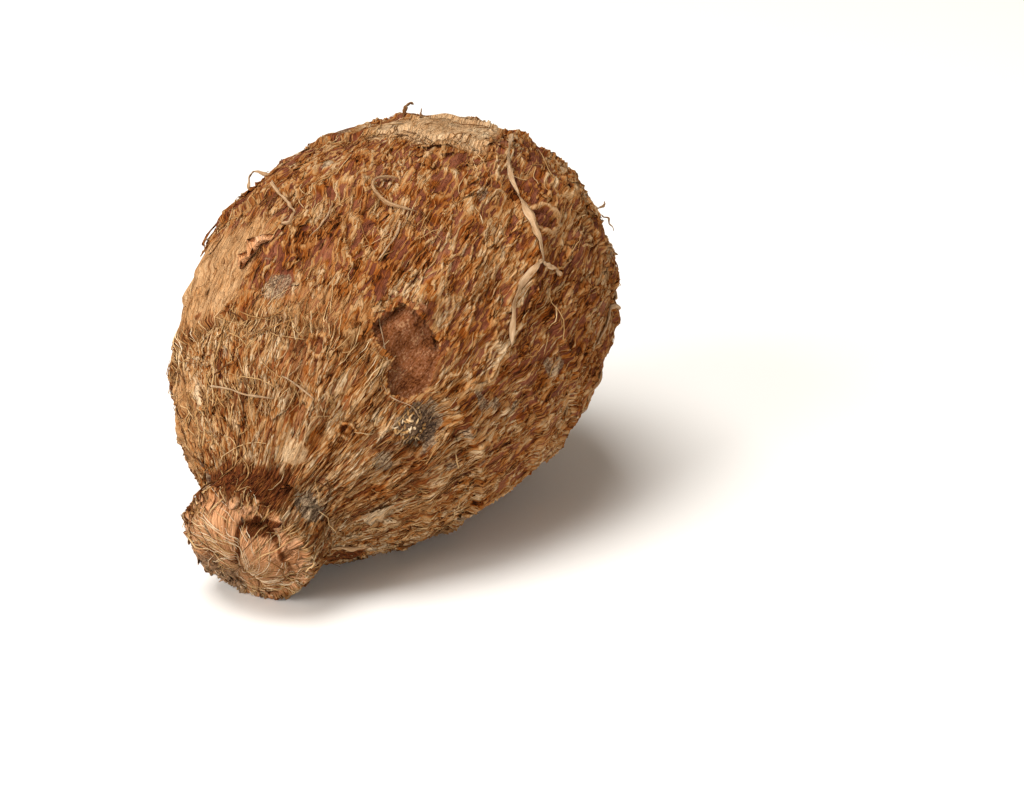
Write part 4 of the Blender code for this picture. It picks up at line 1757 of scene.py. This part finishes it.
@dataclass
class Flakes(SkinPiece):
    """Papery scales of torn skin: each is rooted at its lower end and lifts towards the other.

    A named flake is a skin distance, a turn in degrees, a heading, a length, a half width, a
    rise and a shade.
    """

    stations: int = 8
    seed: int = 307
    thickness: float = 0.00016
    root_depth: float = 0.0003
    curl_radius: float = 0.002
    sway: float = 0.0002
    section: Pairs = (
        (-1.0, 0.0), (-0.5, 0.5), (0.5, 0.5), (1.0, 0.0), (0.5, -0.5), (-0.5, -0.5),
    )
    named: tuple[tuple[float, ...], ...] = (
        (0.0830, 112.3, 2.38, 0.0125, 0.0019, 0.0005, -0.08),
        (0.1048, 147.0, 1.85, 0.0165, 0.0011, 0.0013, -0.16),
        (0.0745, 65.0, 2.4, 0.0080, 0.0014, 0.0009, 0.10),
        (0.0765, 57.0, -2.3, 0.0085, 0.0014, 0.0010, 0.08),
        (0.0735, 50.0, -2.2, 0.0070, 0.0012, 0.0009, 0.08),
        (0.1240, 76.0, 1.7, 0.0120, 0.0013, 0.0007, -0.12),
        (0.1275, 84.0, 1.6, 0.0130, 0.0012, 0.0006, -0.14),
        (0.0375, 4.0, 2.9, 0.0090, 0.0014, 0.0014, 0.22),
    )

    def loose(self, at: Places) -> Array:
        """Chance of a loose flake: clumps, away from bare skin, the flank and the neck."""
        clump = 0.3 + 0.7 * smooth_step((at.noise(12, 12, 67) - 0.45) / 0.15)
        return clump * (1 - np.maximum(at.bare, 0.7 * at.flank)) * (1 - at.neck)

    def stump(self, at: Places) -> Array:
        """Chance of a flake on the neck's end."""
        return at.patch(0.01, -140, 0.008)

    def groups(self) -> list[Growth]:
        """Lists the scattered flakes: loose ones, those on the neck's lip and on its end.

        Returns:
            The groups, in the order of their seeds.
        """
        lip = BelowScar(0, 20, 180, 0.001)
        return [
            Growth(330, self.loose, np.pi, 0.5, (0.003, 0.0075), (0.0003, 0.0009), (0.0005, 0.0013)),
            Growth(
                70, lip, np.pi, 0.35, (0.0025, 0.005), (0.0005, 0.0015), (0.0006, 0.0013),
                reach=(0.01, 0.022),
            ),
            Growth(
                34, self.stump, 1.2, 0.6, (0.002, 0.004), (0.0003, 0.0008), (0.0008, 0.0015),
                reach=(0.002, 0.02),
            ),
        ]

    def listed(self) -> Array:
        """Draws the scattered flakes and puts them after the named ones.

        Returns:
            Skin distance, turn, heading, length, half width, rise and shade, by row.
        """
        chosen = np.array(self.named)
        chosen[:, 1] = np.radians(chosen[:, 1])
        rows = [chosen]
        for at, group in enumerate(self.groups()):
            middle, total, draw = scattered(group.count, group.cover, self.seed + at, group.reach)
            rows.append(np.column_stack([
                middle.skin, middle.turn, draw.normal(group.heading, group.spread, total),
                draw.uniform(*group.length, total), draw.uniform(*group.half, total),
                draw.uniform(*group.lift, total), draw.uniform(-0.12, 0.12, total),
            ]))
        return np.concatenate(rows).T

    def leaves(self, half: Array, share: Array, draw: np.random.Generator) -> tuple[Array, Array]:
        """Gives each flake a ragged leaf outline and curls its sides up by a parabola.

        Args:
            half: Half widths.
            share: Places of the rings along the flake, from minus a half to a half.
            draw: The generator.

        Returns:
            Half widths by flake and ring, and the section's corners by flake, ring and corner.
        """
        section, shape = np.array(self.section), (len(half), self.stations)
        outline = np.clip(1 - np.abs(2 * share - 0.15) ** 2.4, 0.06, 1) ** 0.6
        width = half[:, None] * outline * draw.uniform(0.7, 1.25, shape)
        strength = draw.uniform(0.4, 1.6, len(half))[:, None, None]
        curl = strength * (width[..., None] * section[:, 0]) ** 2 / self.curl_radius
        corners = np.broadcast_to(section, (*shape, *section.shape)).copy()
        corners[..., 1] += curl / self.thickness
        return width, corners

    def build(self) -> bpy.types.Object:
        """Lofts the named and the scattered flakes.

        Returns:
            The flakes as one object.
        """
        place, turn, heading, length, half, rise, shade = self.listed()
        draw = np.random.default_rng(self.seed)
        bend = draw.normal(0, 0.4, len(place))
        strips = Strips(place, turn, heading, length, bend, np.full(len(place), self.sway))
        share = np.linspace(-0.5, 0.5, self.stations)
        width, corners = self.leaves(half, share, draw)
        thick = np.full(width.shape, self.thickness)
        lift = rise[:, None] * np.clip(share + 0.5, 0, 1) ** 1.3 - self.root_depth
        points, at = strips.rings(width, thick, corners, share, lift)
        edge = np.abs(np.array(self.section)[:, 0])
        numbers = {
            "raised": 0.1 + 0.5 * edge + 0.3 * np.clip(share, 0, 1)[None, :, None],
            "shade": sheet(shade, self.stations), "grain": at.grain, **at[..., :1].marks,
        }
        # The first named flake is fresh bark, as smooth and pale as the neck's
        numbers["neck"][0] = np.linspace(0.4, 1.0, self.stations)[:, None]
        return loft_object("papery_flakes", points, numbers, self.material)


def eased_route(knots: Array, stations: int) -> Array:
    """Runs a Catmull-Rom curve through knots: each span is a cubic of its four nearest knots.

    Args:
        knots: Places, one row to a knot.
        stations: How many places to give.

    Returns:
        Evenly stepped places on the curve.
    """
    at = np.linspace(0, len(knots) - 1, stations)
    span = np.minimum(at.astype(int), len(knots) - 2)
    part = (at - span)[:, None]
    near = [knots[np.clip(span + step, 0, len(knots) - 1)] for step in (-1, 0, 1, 2)]
    return 0.5 * (
        2 * near[1] + (near[2] - near[0]) * part
        + (2 * near[0] - 5 * near[1] + 4 * near[2] - near[3]) * part ** 2
        + (3 * near[1] - near[0] - 3 * near[2] + near[3]) * part ** 3
    )


@dataclass(frozen=True)
class Route:
    """A rootlet's course: half width, thickness to width, shade, and knots.

    Each knot is a skin distance in millimetres, a turn in degrees and a height over the skin in
    millimetres.
    """

    half: float
    flat: float
    shade: float
    knots: tuple[Triple, ...]


ROUTES = (
    Route(0.55, 0.28, 0.2, (
        (148, 60, 0.6), (139, 59, 0.8), (130, 58, 0.8), (122.5, 54.8, 0.8), (117.5, 49.7, 0.7),
    )),
    Route(0.95, 0.2, 0.1, (
        (118, 50.5, 0.6), (115.6, 48.2, 0.9), (111.1, 43.5, 1.0), (107.8, 39, 1.0), (105.3, 35.8, 0.9),
    )),
    Route(0.85, 0.22, 0.1, (
        (105.8, 36, 0.8), (103, 36.8, 0.9), (98.5, 37.3, 0.9), (94, 36.3, 0.9), (88.6, 33.2, 0.9),
        (84, 28.1, 0.6),
    )),
    Route(0.7, 0.25, 0.1, ((105, 35.8, 0.8), (105.6, 33.5, 0.9), (107, 31, 0.9), (106.6, 28.6, 0.7))),
    Route(0.42, 0.9, -0.1, (
        (108.0, 81, 0.7), (107.5, 83.5, 1.0), (105.7, 85.2, 1.2), (102.6, 85.4, 1.2), (100.3, 82.7, 1.1),
        (99.4, 78, 1.0), (99.2, 74.5, 0.9), (99.4, 71.3, 0.6),
    )),
    Route(0.42, 0.7, 0.1, (
        (107.5, 122.5, 0.6), (104, 119, 1.0), (100.7, 115.1, 1.1), (98, 111, 1.1), (94.5, 107, 0.9),
    )),
    Route(0.36, 0.9, 0.0, (
        (95, 107.3, 0.9), (92, 103.8, 1.2), (89.5, 103.6, 1.3), (88.6, 105.6, 1.2), (90.3, 107.8, 1.0),
        (92.5, 107.4, 0.8),
    )),
    Route(0.5, 0.8, -0.1, ((17, -4, 0.2), (23, -14, 0.5), (29, -24, 0.6), (35.4, -31, 0.4))),
    Route(0.24, 0.9, 0.2, ((83, 74, 0.5), (90, 73, 0.8), (96, 74, 0.5))),
    Route(0.22, 0.9, 0.2, ((98, 96, 0.5), (92, 95, 0.8), (86, 97, 0.5))),
    Route(0.22, 0.8, 0.3, (
        (48.8, 124, 0.5), (48.4, 121, 1.2), (47, 112, 1.5), (45.4, 102, 1.4), (45.2, 89.4, 0.6),
    )),
    Route(0.2, 0.8, 0.3, ((50.6, 88, 0.5), (50, 84, 1.0), (48.6, 78, 1.1), (47.5, 72, 0.6))),
    Route(0.13, 0.8, 0.3, ((71, 66, 0.4), (67.5, 62.5, 0.7), (63, 57, 0.6), (60, 50, -0.8))),
    Route(0.13, 0.8, 0.3, ((57.5, 53, 0.4), (56, 47, 0.9), (57.2, 39, 0.8), (56.4, 34, 0.4))),
    Route(0.42, 0.5, 0.0, (
        (113.6, 141.5, 0.0), (116.5, 142.5, 2.4), (119.5, 142.5, 3.0), (119.2, 139, 1.6), (118.8, 136, 0.2),
    )),
    Route(0.5, 0.8, -0.5, ((149.2, 107, -1.0), (150, 106.5, 1.0), (150.8, 106, 2.2), (152.4, 104.5, 2.8))),
    Route(0.22, 0.9, -0.3, ((149, 99, -0.6), (149.5, 98.5, 1.2), (149.8, 98.2, 2.6))),
    Route(0.3, 0.9, -0.3, ((142, 19.5, -0.6), (142.5, 19, 1.0), (143.5, 18, 2.4), (145, 18, 3.4))),
    Route(0.22, 0.9, -0.2, ((140, 19, -0.6), (139.8, 18, 1.2), (139, 15.5, 2.4), (137.5, 13, 3.0))),
    Route(0.6, 0.8, -0.3, ((156, 250, -1.0), (156.5, 250, 1.0), (157.5, 251, 2.6))),
    Route(0.55, 0.8, -0.3, ((140, 290, -1.0), (140.5, 290, 1.0), (141.5, 291, 2.2))),
)


@dataclass
class Rootlets(SkinPiece):
    """Dried rootlets on the skin: ribbons, round strands and the stubs of broken ones."""

    stations: int = 40
    sides: int = 10
    seed: int = 41
    wild_count: int = 8
    wild_knots: int = 5
    wild_step: float = 6.5
    twist: float = 9.0
    ripple: float = 0.0002
    evening: int = 3

    def wild(self) -> list[Route]:
        """Rootlets on the sides that lie away: each starts at random and wanders by short steps.

        Returns:
            Their courses.
        """
        draw = np.random.default_rng(self.seed)
        found = []
        for _ in range(self.wild_count):
            place = draw.uniform(60, 150)
            degrees = draw.uniform(-40, -10) if draw.random() < 0.4 else draw.uniform(150, 225)
            heading = draw.uniform(0, 2 * np.pi)
            knots = []
            for _ in range(self.wild_knots):
                knots.append((place, degrees, 0.6))
                arm = float(FORM.arm(np.asarray(place * MM))) / MM
                place += self.wild_step * np.cos(heading)
                degrees += np.degrees(self.wild_step * np.sin(heading) / arm)
                heading += draw.uniform(-0.7, 0.7)
            found.append(Route(draw.uniform(0.45, 0.75), 0.7, draw.uniform(-0.3, 0.2), tuple(knots)))
        return found

    def spine(self, route: Route, along: Array) -> tuple[Array, Array, Array]:
        """Runs the middle line over the skin, with a fine ripple, and evens it out.

        Args:
            route: The course.
            along: Shares of the way.

        Returns:
            Points of the line, and their skin distances and turns.
        """
        units = [MM, np.pi / 180, MM]
        skin, turn, above = (eased_route(np.array(route.knots), self.stations) * units).T
        wave = self.ripple * np.sin(23 * along + 90 * route.half) * np.clip(above / MM, 0, 1)
        middle = Places(skin, turn).point(above + wave)
        for _ in range(self.evening):
            for axis in range(3):
                middle[1:-1, axis] = np.convolve(middle[:, axis], [0.25, 0.5, 0.25], "valid")
        return middle, skin, turn

    def section_axes(self, middle: Array, outward: Array, tilt: Array) -> tuple[Array, Array]:
        """Finds the two axes across a line and turns them about it.

        Args:
            middle: Points of the line.
            outward: Directions away from the skin.
            tilt: Angles to turn by.

        Returns:
            Sideways and upward directions.
        """
        tangent = np.gradient(middle, axis=0)
        tangent /= np.linalg.norm(tangent, axis=1, keepdims=True)
        side = np.cross(tangent, outward)
        side /= np.linalg.norm(side, axis=1, keepdims=True)
        up = np.cross(side, tangent)
        cosine, sine = np.cos(tilt)[:, None], np.sin(tilt)[:, None]
        return side * cosine + up * sine, up * cosine - side * sine

    def tube(self, route: Route) -> tuple[Array, Array]:
        """Carries an ellipse along a route over the skin, thick and thin by two sines.

        Args:
            route: The course.

        Returns:
            Rings and grain coordinates, by ring and corner.
        """
        along = np.linspace(0, 1, self.stations)
        middle, skin, turn = self.spine(route, along)
        # A small fixed slant keeps the axes apart where the line stands straight up
        outward = FORM.tipped(FORM.outward(skin, turn)) + [0.03, 0.05, 0.02]
        tilt = 0.7 * np.sin(self.twist * along + 40 * route.half)
        side, up = self.section_axes(middle, outward, tilt)
        spin = 2 * np.pi * np.arange(self.sides) / self.sides
        knobby = 1 + 0.14 * np.sin(31 * along + turn[0] * 9) + 0.24 * np.sin(11 * along + turn[0] * 5)
        taper = np.clip(1 - np.abs(2 * along - 1) ** 6, 0.22, 1) * knobby
        sideways, upwards = np.cos(spin)[:, None], route.flat * np.sin(spin)[:, None]
        ring = side[:, None] * sideways + up[:, None] * upwards
        length = np.linalg.norm(np.diff(middle, axis=0), axis=1).sum() / MM
        grain = np.stack(np.broadcast_arrays(
            2 * np.cos(spin) + 50 * route.half, 2 * np.sin(spin), (along * length)[:, None],
        ), axis=-1)
        return middle[:, None] + (route.half * MM * taper)[:, None, None] * ring, grain

    def build(self) -> bpy.types.Object:
        """Lofts every rootlet and stub.

        Returns:
            The rootlets as one object.
        """
        routes = [*ROUTES, *self.wild()]
        points, grain = (np.stack(rows) for rows in zip(*map(self.tube, routes)))
        shade = sheet(np.array([route.shade for route in routes]), self.stations)
        return loft_object("dried_rootlets", points, {"shade": shade, "grain": grain}, self.material)


@dataclass
class TornEdge(SkinPiece):
    """The broken rim of the outer cork round the torn patch: it curls up and hangs over its hollow.

    The section runs from the foot outside over the lip to the hollow, as shares of the reach
    away from the patch and of the height over the skin. Standing says how high the rim is at
    each corner of the patch.
    """

    stations: int = 150
    seed: int = 503
    reach: float = 0.0009
    rise: float = 0.0006
    ragged: float = 0.00022
    evening: int = 4
    standing: tuple[float, ...] = (
        1.0, 1.1, 1.0, 1.1, 1.4, 1.5, 1.1, 0.6, 0.3, 0.3, 0.3, 0.4, 0.7, 0.6, 0.5,
    )
    section: Pairs = (
        (1.9, -0.5), (1.2, 0.35), (0.4, 0.85), (-0.35, 0.95), (-0.75, 0.75), (-0.7, 0.45),
        (0.1, 0.1), (0.5, -1.0),
    )

    @property
    def arm(self) -> float:
        """Radius that makes a turn a length on the skin laid flat."""
        return float(FORM.arm(np.mean([*SEEN_TORN, SEEN_TORN[0]], axis=0)[0]))

    def outline(self) -> tuple[Array, Array, float]:
        """Runs round the patch's corners by even steps, on the skin laid flat.

        Returns:
            Skin distance, length round and standing, by row; directions away from the patch;
            and the patch's signed area, above nought where the corners run left about.
        """
        corners = np.column_stack([SEEN_TORN, self.standing]) * [1.0, np.radians(self.arm), 1.0]
        corners = np.vstack([corners, corners[:1]])
        steps = np.linalg.norm(np.diff(corners[:, :2], axis=0), axis=1)
        span = np.concatenate([[0], np.cumsum(steps)])
        at = np.linspace(0, span[-1], self.stations)
        path = np.stack([np.interp(at, span, column) for column in corners.T])
        tangent = np.gradient(path[:2], axis=1).T
        for _ in range(self.evening):
            tangent[1:-1] = 0.25 * tangent[:-2] + 0.5 * tangent[1:-1] + 0.25 * tangent[2:]
        tangent /= np.linalg.norm(tangent, axis=1, keepdims=True)
        area = np.sum(corners[:-1, 0] * corners[1:, 1] - corners[1:, 0] * corners[:-1, 1])
        return path, np.stack([tangent[:, 1], -tangent[:, 0]], axis=-1) * np.sign(area), area

    def build(self) -> bpy.types.Object:
        """Carries the section round the patch, with noise along the way.

        Returns:
            The edge as one object.
        """
        draw = np.random.default_rng(self.seed)
        (skin, around, standing), away, area = self.outline()
        section, tall = np.array(self.section), standing[:, None]
        jitter = draw.normal(0, self.ragged, self.stations)[:, None]
        out = self.reach * section[:, 0] * (0.6 + 0.4 * tall) + jitter
        up = self.rise * section[:, 1] * tall * draw.uniform(0.75, 1.25, (self.stations, 1))
        at = Places(skin[:, None] + away[:, :1] * out, (around[:, None] + away[:, 1:] * out) / self.arm)
        order = -1 if area > 0 else 1
        points, grain = at.smooth_point(up)[::order], at.grain[::order]
        # Tone by height: the rim's sunk corners are darker, painted shade where it meets the skin, and its
        # top paler.
        raised = np.clip(section[:, 1], -0.6, 1)[None, None] * 0.25
        numbers = {"raised": raised, "grain": grain[None]}
        return loft_object("torn_edge", points[None], numbers, self.material)


@dataclass
class RootScarRims(SkinPiece):
    """Corky rims round the scars of fallen roots, each turned like a small crater."""

    sides: int = 28
    seed: int = 401
    rise: float = 0.0006
    profile: Pairs = (
        (1.75, -1.3), (1.5, -0.1), (1.3, 0.7), (1.14, 1.0), (0.98, 0.8), (0.86, -0.1),
        (0.78, -1.1), (0.50, -1.2), (0.25, -0.5), (0.08, -0.4),
    )

    def crater(
        self, scar: Triple, draw: np.random.Generator,
    ) -> tuple[Array, dict[str, Array]]:
        """Turns the profile round a scar on the skin laid flat, with ragged noise on the rim.

        Args:
            scar: Skin distance, turn in degrees and radius.
            draw: The generator.

        Returns:
            Points and attributes, by ring and corner.
        """
        place, degrees, radius = scar
        size, profile = radius / SCAR_SIZE, np.array(self.profile)
        spin = -2 * np.pi * np.arange(self.sides) / self.sides
        rough = 1 + 0.22 * draw.standard_normal((len(profile), self.sides))
        oval = 0.16 * np.sin(2 * spin + draw.uniform(0, 6))
        wave = 1 + oval + 0.09 * np.sin(5 * spin + draw.uniform(0, 6))
        reach = radius * profile[:, :1] * wave * (1 + 0.3 * (rough - 1))
        turn = np.radians(degrees) + reach * np.sin(spin) / FORM.arm(place)
        at = Places(place + reach * np.cos(spin), turn)
        crest = np.broadcast_to(np.clip(profile[:, 1:], 0, 1), turn.shape)
        kinds = at.marks | {"pale": crest * min(0.9, 0.2 * size ** 3), "grain": at.grain}
        return at.smooth_point(profile[:, 1:] * self.rise * size ** 0.6 * rough), kinds

    def build(self) -> bpy.types.Object:
        """Makes a crater of every root scar.

        Returns:
            The rims as one object.
        """
        draw = np.random.default_rng(self.seed)
        points, kinds = zip(*[self.crater(scar, draw) for scar in ROOT_SCARS])
        numbers = {name: np.stack([kind[name] for kind in kinds]) for name in kinds[0]}
        height = np.array(self.profile)[:, 1]
        # Tone by height: paler on the rim's crest and darker down the pit, where the dark is painted shade.
        numbers["raised"] = np.clip(0.1 + height * 0.5, -0.7, 0.7)[None, :, None]
        return loft_object("root_scar_rims", np.stack(points), numbers, self.material)


@dataclass(frozen=True)
class PaperFinish:
    """White uncoated paper: its loose fibres scatter light, so the eye sees an even matt white."""

    colour: str = "#F8F5F0"
    roughness: float = 0.9
    specular: float = 0.1

    def material(self) -> bpy.types.Material:
        """Builds the paper's material.

        Returns:
            The material.
        """
        nodes = Nodes("white_paper")
        nodes.shader.inputs["Base Color"].default_value = linear(self.colour)
        nodes.shader.inputs["Roughness"].default_value = self.roughness
        nodes.shader.inputs["Specular IOR Level"].default_value = self.specular
        return nodes.material


@dataclass(frozen=True)
class Softbox:
    """A square light: its place to the camera's right, towards it and up, its side and watts."""

    name: str
    place: Triple
    side: float
    power: float


@dataclass
class Studio:
    """White floor, soft light from the upper left, and the camera at the photograph's angle."""

    azimuth: float = 23.7
    elevation: float = 23.2
    aim_right: float = 0.0333
    aim_up: float = 0.0255
    distance: float = 0.6225
    lens: float = 85.0
    sensor: float = 36.0
    clip: Range = (0.01, 50.0)
    floor_half: float = 4.0
    world_strength: float = 0.24
    world_colour: str = "#FFF0DC"
    lit_point: Triple = (0.0, 0.0, 0.04)
    softboxes: tuple[Softbox, ...] = (
        Softbox("key_softbox", (-0.55, 0.15, 2.1), 1.4, 49.0),
        Softbox("fill_softbox", (-1.45, 1.05, 0.95), 1.2, 33.0),
        Softbox("bounce_card", (0.5, 1.25, 0.24), 0.45, 5.5),
    )

    def axes(self) -> tuple[Array, Array, Array]:
        """The camera's right, up and back directions.

        Returns:
            Three unit vectors.
        """
        across, rise = np.radians(self.azimuth), np.radians(self.elevation)
        right = np.array([np.cos(across), np.sin(across), 0.0])
        level = np.array([np.sin(across), -np.cos(across), 0.0])
        back = level * np.cos(rise) + np.array([0.0, 0.0, np.sin(rise)])
        return right, np.cross(back, right), back

    def build(self) -> None:
        """Sets floor, world, lights and camera."""
        self.lay_floor()
        self.light_world()
        for softbox in self.softboxes:
            self.hang(softbox)
        self.place_camera()
        bpy.context.scene.view_settings.view_transform = "Standard"

    def lay_floor(self) -> None:
        """Lays a plain white sheet far wider than the view."""
        mesh = bpy.data.meshes.new("floor")
        half = self.floor_half
        corners = [(-half, -half, 0), (half, -half, 0), (half, half, 0), (-half, half, 0)]
        mesh.from_pydata(corners, [], [(0, 1, 2, 3)])
        floor = bpy.data.objects.new("floor", mesh)
        bpy.context.scene.collection.objects.link(floor)
        mesh.materials.append(PaperFinish().material())

    def light_world(self) -> None:
        """Lights everything evenly from a warm white world."""
        world = bpy.data.worlds.new("studio")
        bpy.context.scene.world = world
        world.use_nodes = True
        backdrop = world.node_tree.nodes["Background"].inputs
        backdrop["Color"].default_value = linear(self.world_colour)
        backdrop["Strength"].default_value = self.world_strength

    def hang(self, softbox: Softbox) -> None:
        """Hangs a light that faces the corm.

        Args:
            softbox: Which light.
        """
        right, upright = self.axes()[0], np.array([0.0, 0.0, 1.0])
        aside, near, high = softbox.place
        spot = aside * right + near * np.cross(right, upright) + high * upright
        lamp = bpy.data.lights.new(softbox.name, "AREA")
        lamp.shape = "SQUARE"
        lamp.size = softbox.side
        lamp.energy = softbox.power
        holder = bpy.data.objects.new(softbox.name, lamp)
        bpy.context.scene.collection.objects.link(holder)
        holder.matrix_world = self.looking(spot, np.array(self.lit_point) - spot)

    def looking(self, place: Array, towards: Array) -> Matrix:
        """Matrix at a place whose minus Z axis points along a direction."""
        turned = Vector(towards).to_track_quat("-Z", "Y").to_matrix().to_4x4()
        return Matrix.Translation(Vector(place)) @ turned

    def place_camera(self) -> None:
        """Stands the camera back along its own axis from the point it aims at."""
        right, up, back = self.axes()
        target = self.aim_right * right + self.aim_up * up
        lens = bpy.data.cameras.new("photo_camera")
        lens.lens = self.lens
        lens.sensor_width = self.sensor
        lens.clip_start, lens.clip_end = self.clip
        camera = bpy.data.objects.new("photo_camera", lens)
        bpy.context.scene.collection.objects.link(camera)
        camera.matrix_world = self.looking(target + back * self.distance, -back)
        bpy.context.scene.camera = camera


def main() -> None:
    """Builds every piece in order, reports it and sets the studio."""
    logging.basicConfig(level=logging.INFO, format="%(name)s: %(message)s")
    skin = CorkySkinFinish().material()
    pieces = (
        Bark(skin),
        CorkRidges(skin, RidgeGrade.BOLD),
        CorkRidges(skin, RidgeGrade.FINE),
        Fibres(FibreFinish().material()),
        Flakes(skin),
        Rootlets(RootletFinish().material()),
        RootScarRims(skin),
        TornEdge(skin),
    )
    for piece in pieces:
        made = piece.build()
        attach(made, "root")
        triangles = sum(len(face.vertices) - 2 for face in made.data.polygons)
        LOG.info("%s: %d triangles", made.name, triangles)
    Studio().build()


if __name__ == "__main__":
    main()
